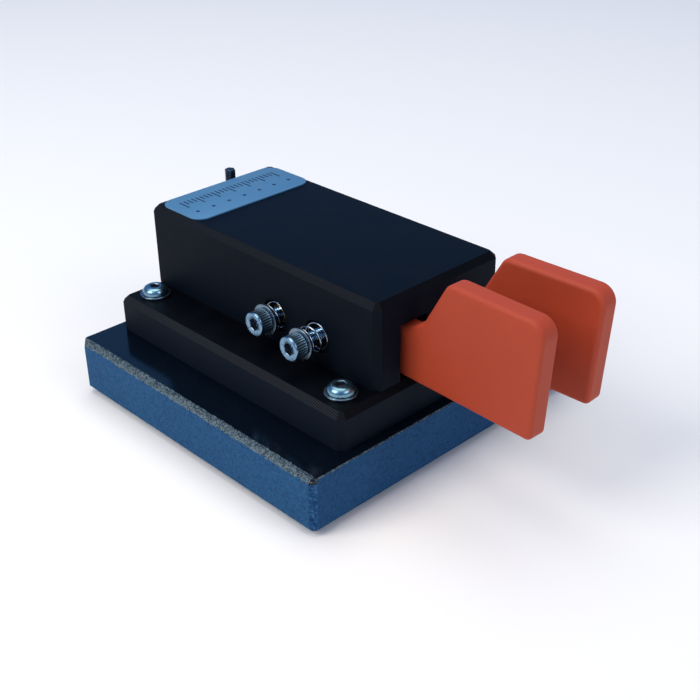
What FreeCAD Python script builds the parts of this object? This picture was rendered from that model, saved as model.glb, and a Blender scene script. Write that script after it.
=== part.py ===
"""Twin-lever Morse key on a stone base.

Frame: +Z up, +Y to the rear, +X to the right as seen from the finger pieces, which point towards -Y.
The origin is the centre of the stone slab's underside. Every length is in millimetres.
"""
import FreeCAD
import Part
import Sketcher
import math
import os

from FreeCAD import Placement, Rotation, Vector

# name, value, what it is
SIZES = [
    ("slab_side", 101.6, "stone slab, both sides (4 inches)"),
    ("slab_thick", 15.8, "stone slab thickness (5/8 inch)"),
    ("slab_bevel", 2.0, "bevel along the left and right top edges"),
    ("slab_arris", 0.5, "arris along the front and rear top edges"),
    ("slab_corner", 1.6, "bevel of the slab's upright corners"),
    ("foot_diameter", 12.0, "rubber foot, top diameter"),
    ("foot_height", 2.0, "rubber foot height"),
    ("foot_taper", 0.8, "how much smaller the foot's radius is at its underside"),
    ("foot_inset", 39.0, "foot centre from the slab's centre, both ways"),
    ("plate_width", 75.1, "base plate, across"),
    ("plate_length", 95.2, "base plate, front to rear"),
    ("plate_thick", 10.8, "base plate thickness"),
    ("plate_mid", 0.4, "base plate centre from the slab's centre, towards the rear"),
    ("plate_bevel", 1.7, "bevel of the base plate's upright and top edges"),
    ("cover_width", 46.8, "cover, across"),
    ("cover_length", 94.2, "cover, front to rear"),
    ("cover_height", 24.7, "cover height"),
    ("cover_mid", 1.3, "cover centre from the slab's centre, towards the rear"),
    ("cover_bevel", 1.7, "bevel of the cover's upright and top edges"),
    ("cover_wall", 3.0, "cover wall and roof thickness"),
    ("weld", 0.5, "how far a boss runs into the wall it stands on"),
    ("window_inner", 5.2, "front window, inner jamb from the middle"),
    ("window_outer", 15.0, "front window, outer jamb from the middle"),
    ("window_height", 16.6, "front window height above the plate"),
    ("label_width", 43.2, "label plate, across"),
    ("label_length", 18.9, "label plate, front to rear"),
    ("label_thick", 0.4, "label plate thickness"),
    ("label_mid", 36.6, "label plate centre, towards the rear"),
    ("label_corner", 4.0, "label plate corner radius"),
    ("fixing_across", 59.4, "base screws, left to right"),
    ("fixing_along", 79.6, "base screws, front to rear"),
    ("fixing_mid", 0.7, "middle of the base screws, towards the rear"),
    ("fixing_length", 20.0, "base screw length under its head"),
    ("button_diameter", 7.6, "button head diameter"),
    ("button_height", 2.2, "button head height"),
    ("button_socket", 2.5, "button head socket, across flats"),
    ("thread_diameter", 4.0, "M4 thread, outside"),
    ("thread_slack", 0.03, "radial clearance of a screw in its brass insert"),
    ("thread_hole", 0.4, "how much wider a plain hole is than the screw's thread"),
    ("screw_tip", 0.4, "bevel at a screw's tip"),
    ("cap_round", 0.4, "rounding of an adjuster head's rim"),
    ("button_round", 1.7, "rounding of a button head"),
    ("pan_round", 0.6, "rounding of a pan head"),
    ("washer_diameter", 9.0, "M4 washer, outside"),
    ("washer_bore", 4.3, "M4 washer, bore"),
    ("washer_thick", 0.8, "M4 washer thickness"),
    ("insert_diameter", 5.6, "M4 brass insert, outside"),
    ("slab_insert_diameter", 6.0, "brass insert glued into the slab, outside"),
    ("slab_insert_length", 10.0, "brass insert glued into the slab, length"),
    ("cap_diameter", 7.0, "adjuster head diameter"),
    ("cap_height", 4.0, "adjuster head height"),
    ("cap_socket", 3.0, "adjuster head socket, across flats"),
    ("adjuster_height", 34.6, "adjuster axis above the slab's underside"),
    ("tension_along", -23.3, "tension adjuster, towards the rear"),
    ("tension_seat", 29.4, "tension adjuster, underside of head from the middle"),
    ("tension_length", 25.0, "tension adjuster length under its head"),
    ("rest_along", -6.6, "rest-stop adjuster, towards the rear"),
    ("rest_seat", 27.0, "rest-stop adjuster, underside of head from the middle"),
    ("rest_length", 14.0, "rest-stop adjuster length under its head"),
    ("spring_outside", 8.0, "adjuster spring, outside diameter"),
    ("spring_wire", 0.5, "adjuster spring wire diameter"),
    ("spring_gap", 0.02, "air between the spring's ends and what they press on"),
    ("tension_turns", 4.0, "tension spring turns"),
    ("rest_turns", 3.0, "rest-stop spring turns"),
    ("seat_diameter", 9.2, "spring seat in the cover's side, diameter"),
    ("seat_depth", 1.5, "spring seat depth"),
    ("shank_hole", 4.9, "hole in the cover's side for the tension adjuster"),
    ("wall_boss", 10.0, "boss inside the cover's side round the rest-stop insert"),
    ("wall_insert_length", 6.0, "rest-stop insert length"),
    ("lever_across", 10.0, "lever centre line from the middle"),
    ("arm_thick", 4.6, "lever arm thickness"),
    ("arm_bottom", 28.2, "lever arm underside"),
    ("arm_top", 41.0, "lever arm top"),
    ("hub_diameter", 13.0, "lever hub diameter"),
    ("hub_bottom", 27.4, "lever hub underside"),
    ("pivot_along", 4.0, "lever pivot, towards the rear"),
    ("pin_diameter", 3.0, "pivot pin diameter"),
    ("pin_length", 24.0, "pivot pin length"),
    ("pin_bevel", 0.3, "bevel at both ends of the pivot pin"),
    ("pin_depth", 6.0, "pivot pin depth in the base plate"),
    ("pin_slack", 0.03, "radial clearance of the bearings on the pin"),
    ("pin_boss", 9.0, "boss under the cover's roof that holds the pin's top, diameter"),
    ("pin_socket", 3.6, "depth of the pin's hole in that boss"),
    ("bearing_diameter", 8.0, "ball bearing, outside"),
    ("bearing_width", 4.0, "ball bearing width"),
    ("bearing_bore", 6.0, "hole in the lever's hub between its two bearings"),
    ("finger_thick", 6.1, "finger piece thickness"),
    ("finger_toe", 1.9, "finger piece turns outwards by this many degrees"),
    ("finger_root", -44.0, "where the finger piece leaves the arm"),
    ("finger_bottom", 27.1, "finger piece underside"),
    ("finger_top", 58.9, "finger piece top"),
    ("finger_tip_low", -87.4, "front of the finger piece at its underside, towards the rear"),
    ("finger_tip_high", -89.5, "front of the finger piece at its top, towards the rear"),
    ("finger_back", -59.5, "rear end of the finger piece's top, towards the rear"),
    ("finger_edge", 1.2, "rounding of the finger piece's long edges"),
    ("finger_front_round", 4.5, "rounding of the top front corner"),
    ("finger_back_round", 3.5, "rounding of the top rear corner"),
    ("finger_low_round", 1.6, "rounding of the front underside corner"),
    ("ramp_foot", -51.6, "lower end of the steep ramp, towards the rear"),
    ("ramp_height", 45.2, "lower end of the steep ramp, height"),
    ("neck_front", -46.4, "front of the level neck, towards the rear"),
    ("neck_top", 41.8, "top of the neck at the cover"),
    ("neck_back", -42.0, "rear end of the neck, inside the cover"),
    ("stop_boss", 0.65, "raised pad that the rest-stop screw meets"),
    ("stop_pad", 6.0, "diameter of that pad"),
    ("contact_along", -33.0, "contacts, towards the rear"),
    ("contact_gap", 0.6, "gap at each contact, at rest"),
    ("rivet_diameter", 3.0, "contact rivet shank"),
    ("rivet_head", 4.6, "contact rivet head"),
    ("rivet_round", 0.9, "rounding of the contact rivet's face"),
    ("strip_thick", 0.4, "contact strip thickness"),
    ("strip_width", 4.0, "contact strip width"),
    ("strip_ring", 7.5, "contact strip's ring on the upper bearing, outside"),
    ("strip_ring_hole", 3.3, "hole in that ring"),
    ("strip_tab", 4.8, "length of the strip's tab round the rivet"),
    ("strip_clearance", 0.2, "air between the contact strip and the pin's boss"),
    ("post_diameter", 6.0, "contact post diameter"),
    ("post_top", 40.0, "contact post top"),
    ("post_bevel", 0.5, "bevel round the contact post's top"),
    ("post_hole", 9.0, "depth of the contact post's threaded hole"),
    ("terminal_thick", 0.6, "ring terminal thickness"),
    ("terminal_diameter", 7.0, "ring terminal, outside"),
    ("terminal_tail", 9.5, "end of the ring terminal's tail from the ring's middle"),
    ("terminal_tail_width", 2.8, "width of that tail"),
    ("terminal_slack", 0.1, "how much wider the ring terminal's hole is than what goes through"),
    ("small_thread", 3.0, "M3 thread, outside"),
    ("small_head", 5.6, "M3 pan head diameter"),
    ("small_head_height", 2.2, "M3 pan head height"),
    ("small_socket", 2.0, "M3 pan head socket, across flats"),
    ("small_head_hole", 6.2, "counterbore for an M3 head"),
    ("small_head_depth", 3.2, "depth of that counterbore"),
    ("cover_screw_length", 12.0, "cover screw length"),
    ("post_screw_length", 16.0, "contact post screw length"),
    ("cover_boss", 6.4, "corner boss in the cover, diameter"),
    ("cover_insert", 4.2, "M3 brass insert, outside"),
    ("cover_insert_length", 6.0, "M3 brass insert length"),
    ("boss_across", 17.1, "cover screw from the middle, across"),
    ("boss_front", -36.0, "front cover screws, towards the rear"),
    ("boss_rear", 41.0, "rear cover screws, towards the rear"),
    ("jack_across", -8.0, "jack from the middle"),
    ("jack_height", 36.0, "jack axis above the slab's underside"),
    ("jack_width", 9.0, "jack housing width"),
    ("jack_tall", 10.0, "jack housing height"),
    ("jack_depth", 12.0, "jack housing depth"),
    ("jack_barrel", 6.0, "jack barrel diameter"),
    ("jack_reach", 5.6, "jack barrel length outside its housing"),
    ("jack_bore", 3.6, "plug bore diameter"),
    ("jack_bore_length", 15.0, "plug bore depth"),
    ("jack_hole_slack", 0.2, "how much wider the rear hole is than the jack's barrel"),
    ("lug_spacing", 3.0, "jack lugs, from one to the next"),
    ("lug_width", 1.6, "jack lug width"),
    ("lug_thick", 0.6, "jack lug thickness"),
    ("lug_length", 3.0, "jack lug length"),
    ("lug_drop", 4.2, "jack lugs' underside below the jack's axis"),
    ("jack_nut_flats", 8.0, "jack nut, across flats"),
    ("jack_nut_thick", 2.0, "jack nut thickness"),
    ("key_flats", 3.0, "hex key, across flats, as the adjusters' sockets"),
    ("key_across", 9.7, "hex key from the middle"),
    ("key_behind", 3.4, "upright arm's axis behind the cover's rear face"),
    ("key_top", 52.3, "top of the upright arm"),
    ("key_upright", 18.5, "upright arm, overall"),
    ("key_long", 38.0, "long arm, overall"),
    ("key_bend", 3.6, "bend radius at the key's axis"),
    ("key_tunnel", 3.8, "tunnel bore for the key"),
    ("key_tube", 6.4, "tunnel tube diameter"),
    ("key_rib", 2.4, "thickness of the rib that hangs the tunnel tube from the roof"),
    ("key_room", 1.0, "tube length past the key's tip"),
    ("key_tip_bevel", 0.25, "bevel at both ends of the key"),
    ("wire_diameter", 1.2, "insulated hook-up wire diameter"),
    ("wire_gap", 0.1, "air between a wire and what it lies on"),
]
SHEET = "Sizes"
VALUE = {name: value for name, value, _ in SIZES}
LEFT = -1
RIGHT = 1
SIDES = (("left", LEFT), ("right", RIGHT))

# heights and depths used by several pieces, as spreadsheet expressions
PLATE_TOP = "(Sizes.slab_thick + Sizes.plate_thick)"
COVER_TOP = "(Sizes.slab_thick + Sizes.plate_thick + Sizes.cover_height)"
HALF_COVER = "(Sizes.cover_width / 2)"
COVER_FRONT = "(Sizes.cover_mid - Sizes.cover_length / 2)"
COVER_REAR = "(Sizes.cover_mid + Sizes.cover_length / 2)"
SEAT_FLOOR = "(Sizes.cover_width / 2 - Sizes.seat_depth)"
PIN_BOSS_END = "(Sizes.arm_top + Sizes.strip_thick + Sizes.strip_clearance)"
TERMINAL_TOP = "(Sizes.slab_thick + Sizes.plate_thick + Sizes.terminal_thick)"
HEAD_SEAT = "(Sizes.slab_thick + Sizes.small_head_depth)"
KEY_AXIS_HEIGHT = "(Sizes.key_top - Sizes.key_upright + Sizes.key_flats / 2)"
KEY_UPRIGHT = "(Sizes.cover_mid + Sizes.cover_length / 2 + Sizes.key_behind)"
KEY_TIP = f"({KEY_UPRIGHT} + Sizes.key_flats / 2 - Sizes.key_long)"

# a screw turned head down, so that its shank points up
UPWARDS = Rotation(Vector(1, 0, 0), 180)

doc = FreeCAD.newDocument("MorseKey")


def fill_sheet():
    """The driving dimensions, one per row: meaning, value, alias."""
    sheet = doc.addObject("Spreadsheet::Sheet", SHEET)
    for row, (name, value, meaning) in enumerate(SIZES, start=1):
        sheet.set(f"A{row}", meaning)
        sheet.set(f"B{row}", str(value))
        sheet.setAlias(f"B{row}", name)
    doc.recompute()


def mirrored(side, expression):
    """The expression on the right, its negative on the left."""
    return f"{side} * ({expression})"


# ---------------------------------------------------------------- sketches and features

def new_body(label):
    body = doc.addObject("PartDesign::Body", label)
    body.Label = label
    return body


def origin_plane(body, role):
    return next(item for item in body.Origin.OriginFeatures if item.Role == role)


def new_sketch(body, role, lift="0"):
    """A sketch on one of the body's origin planes, moved along its normal by the lift."""
    sketch = body.newObject("Sketcher::SketchObject", "Sketch")
    sketch.AttachmentSupport = (origin_plane(body, role), [""])
    sketch.MapMode = "FlatFace"
    sketch.setExpression("AttachmentOffset.Base.z", lift)
    return sketch


def bind(sketch, kind, arguments, expression):
    """Add a dimension whose value is a spreadsheet expression."""
    number = sketch.addConstraint(Sketcher.Constraint(kind, *arguments, 1.0))
    sketch.setExpression(f"Constraints[{number}]", expression)


def add_polygon(sketch, corners):
    """A closed polygon, each corner given as a pair of expressions."""
    first = sketch.GeometryCount
    count = len(corners)
    for number in range(count):
        turn = 2 * math.pi * number / count
        following = 2 * math.pi * (number + 1) / count
        start = Vector(math.cos(turn), math.sin(turn), 0)
        end = Vector(math.cos(following), math.sin(following), 0)
        sketch.addGeometry(Part.LineSegment(start, end), False)
    for number in range(count):
        following = first + (number + 1) % count
        sketch.addConstraint(Sketcher.Constraint("Coincident", first + number, 2, following, 1))
    for number, (across, up) in enumerate(corners):
        bind(sketch, "DistanceX", (-1, 1, first + number, 1), across)
        bind(sketch, "DistanceY", (-1, 1, first + number, 1), up)


def add_rectangle(sketch, left, right, bottom, top):
    add_polygon(sketch, [(left, bottom), (right, bottom), (right, top), (left, top)])


def add_circle(sketch, across, up, diameter):
    number = sketch.addGeometry(Part.Circle(Vector(0, 0, 0), Vector(0, 0, 1), 1.0), False)
    bind(sketch, "Diameter", (number,), diameter)
    bind(sketch, "DistanceX", (-1, 1, number, 3), across)
    bind(sketch, "DistanceY", (-1, 1, number, 3), up)


def add_hexagon(sketch, across, up, flats, first_corner=0.0):
    """A regular hexagon by its width across flats; the first corner's bearing is in degrees."""
    corners = []
    for number in range(6):
        turn = math.radians(first_corner + 60 * number)
        reach = f"({flats}) / {math.sqrt(3)}"
        corners.append((
            f"{across} + {reach} * {math.cos(turn)}",
            f"{up} + {reach} * {math.sin(turn)}",
        ))
    add_polygon(sketch, corners)


def add_pad(body, sketch, length, midplane=False, reverse=False):
    pad = body.newObject("PartDesign::Pad", "Pad")
    pad.Profile = sketch
    pad.setExpression("Length", length)
    pad.Midplane = midplane
    pad.Reversed = reverse
    doc.recompute()
    return pad


def add_pocket(body, sketch, length, midplane=False, reverse=False):
    """Cut a sketch out of the body, and stop if the cut removed nothing."""
    before = body.Shape.Volume
    pocket = body.newObject("PartDesign::Pocket", "Pocket")
    pocket.Profile = sketch
    pocket.setExpression("Length", length)
    pocket.Midplane = midplane
    pocket.Reversed = reverse
    doc.recompute()
    if not body.Shape.Volume < before - 1e-6:
        raise RuntimeError(f"a pocket of {body.Label} cuts nothing")
    return pocket


def add_revolution(body, sketch):
    """Turn a profile drawn on the XZ plane once round the Z axis."""
    turned = body.newObject("PartDesign::Revolution", "Revolution")
    turned.Profile = sketch
    turned.ReferenceAxis = (sketch, ["V_Axis"])
    turned.Angle = 360.0
    doc.recompute()
    return turned


def edges_where(shape, wanted):
    """Names of the edges whose middle point and direction satisfy the test."""
    names = []
    for number, edge in enumerate(shape.Edges, start=1):
        ends = edge.ParameterRange
        middle = edge.valueAt((ends[0] + ends[1]) / 2)
        along = edge.tangentAt((ends[0] + ends[1]) / 2)
        if wanted(middle, along):
            names.append(f"Edge{number}")
    return names


def add_chamfer(body, wanted, size):
    base = body.Tip
    names = edges_where(base.Shape, wanted)
    chamfer = body.newObject("PartDesign::Chamfer", "Chamfer")
    chamfer.Base = (base, names)
    chamfer.setExpression("Size", size)
    doc.recompute()
    return chamfer


def add_fillet(body, wanted, radius):
    base = body.Tip
    names = edges_where(base.Shape, wanted)
    fillet = body.newObject("PartDesign::Fillet", "Fillet")
    fillet.Base = (base, names)
    fillet.setExpression("Radius", radius)
    doc.recompute()
    return fillet


def place(piece, x="0", y="0", z="0", turn=None):
    """Put a piece in the assembly, its position bound to the spreadsheet."""
    if turn is not None:
        piece.Placement = Placement(Vector(0, 0, 0), turn)
    piece.setExpression("Placement.Base.x", x)
    piece.setExpression("Placement.Base.y", y)
    piece.setExpression("Placement.Base.z", z)


def upright(middle, along):
    return abs(along.z) > 0.99


def near(value, target):
    return abs(value - target) < 0.02


def group(label, source, places, turn=None):
    """Identical pieces in one sub-part: a compound of linked copies of one body."""
    links = []
    for number, (across, along, up) in enumerate(places):
        link = doc.addObject("App::Link", f"{label}_{number + 1}")
        link.LinkedObject = source
        link.LinkTransform = False
        place(link, across, along, up, turn)
        links.append(link)
    compound = doc.addObject("Part::Compound", label)
    compound.Label = label
    compound.Links = links
    doc.recompute()
    return compound


def corners(across, along, middle="0"):
    """Four places, at plus and minus half of each spacing round the middle."""
    found = []
    for side in (-1, 1):
        for end in (-1, 1):
            found.append((f"{side} * {across} / 2", f"{middle} + {end} * {along} / 2"))
    return found


FIXINGS = corners("Sizes.fixing_across", "Sizes.fixing_along", "Sizes.fixing_mid")
COVER_FIXINGS = [
    (f"{side} * Sizes.boss_across", f"Sizes.{end}")
    for side in (LEFT, RIGHT)
    for end in ("boss_front", "boss_rear")
]


# ---------------------------------------------------------------- stone base and base plate

def build_slab():
    body = new_body("granite_slab")
    sketch = new_sketch(body, "XY_Plane")
    half = "Sizes.slab_side / 2"
    add_rectangle(sketch, f"-{half}", half, f"-{half}", half)
    add_pad(body, sketch, "Sizes.slab_thick")
    add_chamfer(body, upright, "Sizes.slab_corner")
    top = VALUE["slab_thick"]
    side = VALUE["slab_side"] / 2
    add_chamfer(
        body,
        lambda middle, along: near(middle.z, top) and near(abs(middle.x), side),
        "Sizes.slab_bevel",
    )
    add_chamfer(
        body,
        lambda middle, along: near(middle.z, top) and near(abs(middle.y), side),
        "Sizes.slab_arris",
    )
    holes = new_sketch(body, "XY_Plane", "Sizes.slab_thick")
    for across, along in FIXINGS:
        add_circle(holes, across, along, "Sizes.slab_insert_diameter")
    add_pocket(body, holes, "Sizes.slab_insert_length + 1")


def build_feet():
    """Four tapered rubber feet under the slab."""
    feet = []
    for number, (across, along) in enumerate(corners("2 * Sizes.foot_inset", "2 * Sizes.foot_inset")):
        foot = doc.addObject("Part::Cone", f"foot_{number + 1}")
        foot.setExpression("Radius1", "Sizes.foot_diameter / 2 - Sizes.foot_taper")
        foot.setExpression("Radius2", "Sizes.foot_diameter / 2")
        foot.setExpression("Height", "Sizes.foot_height")
        place(foot, across, along, "-Sizes.foot_height")
        feet.append(foot)
    compound = doc.addObject("Part::Compound", "rubber_feet")
    compound.Label = "rubber_feet"
    compound.Links = feet
    doc.recompute()


def ring_body(label, outside, bore, thick):
    """A flat ring standing on z = 0."""
    body = new_body(label)
    sketch = new_sketch(body, "XY_Plane")
    add_circle(sketch, "0", "0", outside)
    add_circle(sketch, "0", "0", bore)
    add_pad(body, sketch, thick)
    return body


def build_base_fixings():
    """Button-head screws, washers and glued-in inserts that hold the base plate to the slab."""
    insert = ring_body(
        "slab_insert",
        "Sizes.slab_insert_diameter",
        "Sizes.thread_diameter + 2 * Sizes.thread_slack",
        "Sizes.slab_insert_length",
    )
    washer = ring_body("base_washer", "Sizes.washer_diameter", "Sizes.washer_bore", "Sizes.washer_thick")
    screw = screw_body(
        "base_screw",
        "Sizes.thread_diameter",
        "Sizes.fixing_length",
        "Sizes.button_diameter",
        "Sizes.button_height",
        "Sizes.button_socket",
        "Sizes.button_round",
    )
    low = "Sizes.slab_thick - Sizes.slab_insert_length"
    group("slab_inserts", insert, [(across, along, low) for across, along in FIXINGS])
    group("base_washers", washer, [(across, along, PLATE_TOP) for across, along in FIXINGS])
    high = f"{PLATE_TOP} + Sizes.washer_thick"
    group("base_screws", screw, [(across, along, high) for across, along in FIXINGS])


def build_base_plate():
    body = new_body("base_plate")
    sketch = new_sketch(body, "XY_Plane", "Sizes.slab_thick")
    add_rectangle(
        sketch,
        "-Sizes.plate_width / 2",
        "Sizes.plate_width / 2",
        "Sizes.plate_mid - Sizes.plate_length / 2",
        "Sizes.plate_mid + Sizes.plate_length / 2",
    )
    add_pad(body, sketch, "Sizes.plate_thick")
    top = VALUE["slab_thick"] + VALUE["plate_thick"]
    add_chamfer(body, upright, "Sizes.plate_bevel")
    add_chamfer(body, lambda middle, along: near(middle.z, top), "Sizes.plate_bevel")
    holes = new_sketch(body, "XY_Plane", PLATE_TOP)
    for across, along in FIXINGS:
        add_circle(holes, across, along, "Sizes.thread_diameter + Sizes.thread_hole")
    for across, along in COVER_FIXINGS + [("0", "Sizes.contact_along")]:
        add_circle(holes, across, along, "Sizes.small_thread + Sizes.thread_hole")
    add_pocket(body, holes, "Sizes.plate_thick")
    recesses = new_sketch(body, "XY_Plane", "Sizes.slab_thick")
    for across, along in COVER_FIXINGS + [("0", "Sizes.contact_along")]:
        add_circle(recesses, across, along, "Sizes.small_head_hole")
    add_pocket(body, recesses, "Sizes.small_head_depth", reverse=True)
    sockets = new_sketch(body, "XY_Plane", PLATE_TOP)
    for side in (LEFT, RIGHT):
        add_circle(sockets, mirrored(side, "Sizes.lever_across"), "Sizes.pivot_along", "Sizes.pin_diameter")
    add_pocket(body, sockets, "Sizes.pin_depth")


# ---------------------------------------------------------------- cover and label

def build_cover():
    body = new_body("top_cover")
    shell = new_sketch(body, "XY_Plane", PLATE_TOP)
    add_rectangle(shell, f"-{HALF_COVER}", HALF_COVER, COVER_FRONT, COVER_REAR)
    add_pad(body, shell, "Sizes.cover_height")
    top = VALUE["slab_thick"] + VALUE["plate_thick"] + VALUE["cover_height"]
    add_chamfer(body, upright, "Sizes.cover_bevel")
    add_chamfer(body, lambda middle, along: near(middle.z, top), "Sizes.cover_bevel")

    hollow = new_sketch(body, "XY_Plane", PLATE_TOP)
    add_rectangle(
        hollow,
        f"-{HALF_COVER} + Sizes.cover_wall",
        f"{HALF_COVER} - Sizes.cover_wall",
        f"{COVER_FRONT} + Sizes.cover_wall",
        f"{COVER_REAR} - Sizes.cover_wall",
    )
    add_pocket(body, hollow, "Sizes.cover_height - Sizes.cover_wall", reverse=True)

    add_cover_bosses(body)
    add_key_tunnel(body)
    add_cover_openings(body)


def add_cover_bosses(body):
    """Corner bosses for the cover screws, sockets for the pivot pins, bosses for the stop inserts."""
    screw_bosses = new_sketch(body, "XY_Plane", PLATE_TOP)
    for across, along in COVER_FIXINGS:
        add_circle(screw_bosses, across, along, "Sizes.cover_boss")
    add_pad(body, screw_bosses, "Sizes.cover_height - Sizes.cover_wall + Sizes.weld")

    pin_bosses = new_sketch(body, "XY_Plane", PIN_BOSS_END)
    for side in (LEFT, RIGHT):
        add_circle(pin_bosses, mirrored(side, "Sizes.lever_across"), "Sizes.pivot_along", "Sizes.pin_boss")
    add_pad(body, pin_bosses, f"{COVER_TOP} - Sizes.cover_wall + Sizes.weld - {PIN_BOSS_END}")

    for side in (LEFT, RIGHT):
        wall_boss = new_sketch(body, "YZ_Plane", mirrored(side, f"{SEAT_FLOOR} - Sizes.wall_insert_length"))
        add_circle(wall_boss, "Sizes.rest_along", "Sizes.adjuster_height", "Sizes.wall_boss")
        add_pad(body, wall_boss, "Sizes.wall_insert_length - Sizes.weld", reverse=side == LEFT)


def add_key_tunnel(body):
    """A tube inside the rear wall that stores the long arm of the hex key, hung from the roof by a rib."""
    tube = new_sketch(body, "XZ_Plane", f"-({KEY_TIP} - Sizes.key_room)")
    add_circle(tube, "Sizes.key_across", KEY_AXIS_HEIGHT, "Sizes.key_tube")
    length = f"{COVER_REAR} - Sizes.cover_wall / 2 - {KEY_TIP} + Sizes.key_room"
    add_pad(body, tube, length, reverse=True)
    rib = new_sketch(body, "XZ_Plane", f"-({KEY_TIP} - Sizes.key_room)")
    add_rectangle(
        rib,
        "Sizes.key_across - Sizes.key_rib / 2",
        "Sizes.key_across + Sizes.key_rib / 2",
        f"{KEY_AXIS_HEIGHT} + Sizes.key_tube / 4",
        f"{COVER_TOP} - Sizes.cover_wall / 2",
    )
    add_pad(body, rib, length, reverse=True)


def add_cover_openings(body):
    """Front windows, holes and spring seats for the adjusters, rear holes and screw inserts."""
    windows = new_sketch(body, "XZ_Plane", f"-{COVER_FRONT}")
    for side in (LEFT, RIGHT):
        near_jamb = mirrored(side, "Sizes.window_inner")
        far_jamb = mirrored(side, "Sizes.window_outer")
        first, second = (far_jamb, near_jamb) if side == LEFT else (near_jamb, far_jamb)
        add_rectangle(windows, first, second, PLATE_TOP, f"{PLATE_TOP} + Sizes.window_height")
    add_pocket(body, windows, "Sizes.cover_wall")

    through = new_sketch(body, "YZ_Plane")
    add_circle(through, "Sizes.tension_along", "Sizes.adjuster_height", "Sizes.shank_hole")
    add_circle(through, "Sizes.rest_along", "Sizes.adjuster_height", "Sizes.insert_diameter")
    add_pocket(body, through, "Sizes.cover_width + 2", midplane=True)

    for side in (LEFT, RIGHT):
        seats = new_sketch(body, "YZ_Plane", mirrored(side, HALF_COVER))
        for along in ("Sizes.tension_along", "Sizes.rest_along"):
            add_circle(seats, along, "Sizes.adjuster_height", "Sizes.seat_diameter")
        add_pocket(body, seats, "Sizes.seat_depth", reverse=side == LEFT)

    rear = new_sketch(body, "XZ_Plane", f"-{COVER_REAR}")
    add_circle(rear, "Sizes.jack_across", "Sizes.jack_height", "Sizes.jack_barrel + Sizes.jack_hole_slack")
    add_pocket(body, rear, "Sizes.cover_wall", reverse=True)
    tunnel = new_sketch(body, "XZ_Plane", f"-{COVER_REAR}")
    add_circle(tunnel, "Sizes.key_across", KEY_AXIS_HEIGHT, "Sizes.key_tunnel")
    add_pocket(body, tunnel, f"{COVER_REAR} - {KEY_TIP} + 2 * Sizes.key_room", reverse=True)

    inserts = new_sketch(body, "XY_Plane", PLATE_TOP)
    for across, along in COVER_FIXINGS:
        add_circle(inserts, across, along, "Sizes.cover_insert")
    add_pocket(body, inserts, "Sizes.cover_insert_length + 1", reverse=True)
    pins = new_sketch(body, "XY_Plane", PIN_BOSS_END)
    for side in (LEFT, RIGHT):
        add_circle(
            pins,
            mirrored(side, "Sizes.lever_across"),
            "Sizes.pivot_along",
            "Sizes.pin_diameter + 2 * Sizes.pin_slack",
        )
    add_pocket(body, pins, "Sizes.pin_socket", reverse=True)


def build_label():
    body = new_body("label_plate")
    sketch = new_sketch(body, "XY_Plane")
    add_rectangle(
        sketch,
        "-Sizes.label_width / 2",
        "Sizes.label_width / 2",
        "-Sizes.label_length / 2",
        "Sizes.label_length / 2",
    )
    add_pad(body, sketch, "Sizes.label_thick")
    add_fillet(body, upright, "Sizes.label_corner")
    place(body, "0", "Sizes.label_mid", COVER_TOP)


# ---------------------------------------------------------------- screws, springs and inserts

def screw_body(label, thread, length, head, height, socket, dome):
    """A screw standing on its shank: underside of the head at z = 0, shank towards -Z.

    The head's top edge is rounded by the dome radius, and the head has a hexagonal socket.
    """
    body = new_body(label)
    profile = new_sketch(body, "XZ_Plane")
    tip = "Sizes.screw_tip"
    add_polygon(profile, [
        ("0", f"-{length}"),
        (f"{thread} / 2 - {tip}", f"-{length}"),
        (f"{thread} / 2", f"-{length} + {tip}"),
        (f"{thread} / 2", "0"),
        (f"{head} / 2", "0"),
        (f"{head} / 2", height),
        ("0", height),
    ])
    add_revolution(body, profile)
    crown = max(vertex.Point.z for vertex in body.Shape.Vertexes)
    add_fillet(body, lambda middle, along: near(middle.z, crown), dome)
    recess = new_sketch(body, "XY_Plane", height)
    add_hexagon(recess, "0", "0", socket)
    add_pocket(body, recess, f"0.55 * {height}")
    return body


def build_adjuster(name, side, word, turns):
    """One side adjuster: cap screw, washer and spring, lying along X with its head outside."""
    seat = mirrored(side, f"Sizes.{word}_seat")
    along = f"Sizes.{word}_along"
    outward = Rotation(Vector(0, 1, 0), 90 * side)
    screw = screw_body(
        f"{name}_{word}_screw",
        "Sizes.thread_diameter",
        f"Sizes.{word}_length",
        "Sizes.cap_diameter",
        "Sizes.cap_height",
        "Sizes.cap_socket",
        "Sizes.cap_round",
    )
    place(screw, seat, along, "Sizes.adjuster_height", outward)
    washer = ring_body(
        f"{name}_{word}_washer",
        "Sizes.washer_diameter",
        "Sizes.washer_bore",
        "Sizes.washer_thick",
    )
    under_washer = mirrored(side, f"Sizes.{word}_seat - Sizes.washer_thick")
    place(washer, under_washer, along, "Sizes.adjuster_height", outward)
    spring = build_spring(f"{name}_{word}_spring", word, turns)
    place(spring, mirrored(side, SEAT_FLOOR), along, "Sizes.adjuster_height", outward)


def build_spring(label, word, turns):
    """A coil between the floor of its seat in the cover and the washer."""
    body = new_body(label)
    profile = new_sketch(body, "XZ_Plane")
    lift = "(Sizes.spring_wire / 2 + Sizes.spring_gap)"
    add_circle(profile, "(Sizes.spring_outside - Sizes.spring_wire) / 2", lift, "Sizes.spring_wire")
    coil = body.newObject("PartDesign::AdditiveHelix", "Coil")
    coil.Profile = profile
    axis = next(item for item in body.Origin.OriginFeatures if item.Role == "Z_Axis")
    coil.ReferenceAxis = (axis, [""])
    coil.Mode = "height-turns-angle"
    room = f"(Sizes.{word}_seat - Sizes.washer_thick - {SEAT_FLOOR})"
    coil.setExpression("Height", f"{room} - 2 * {lift}")
    coil.setExpression("Turns", turns)
    doc.recompute()
    return body


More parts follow.
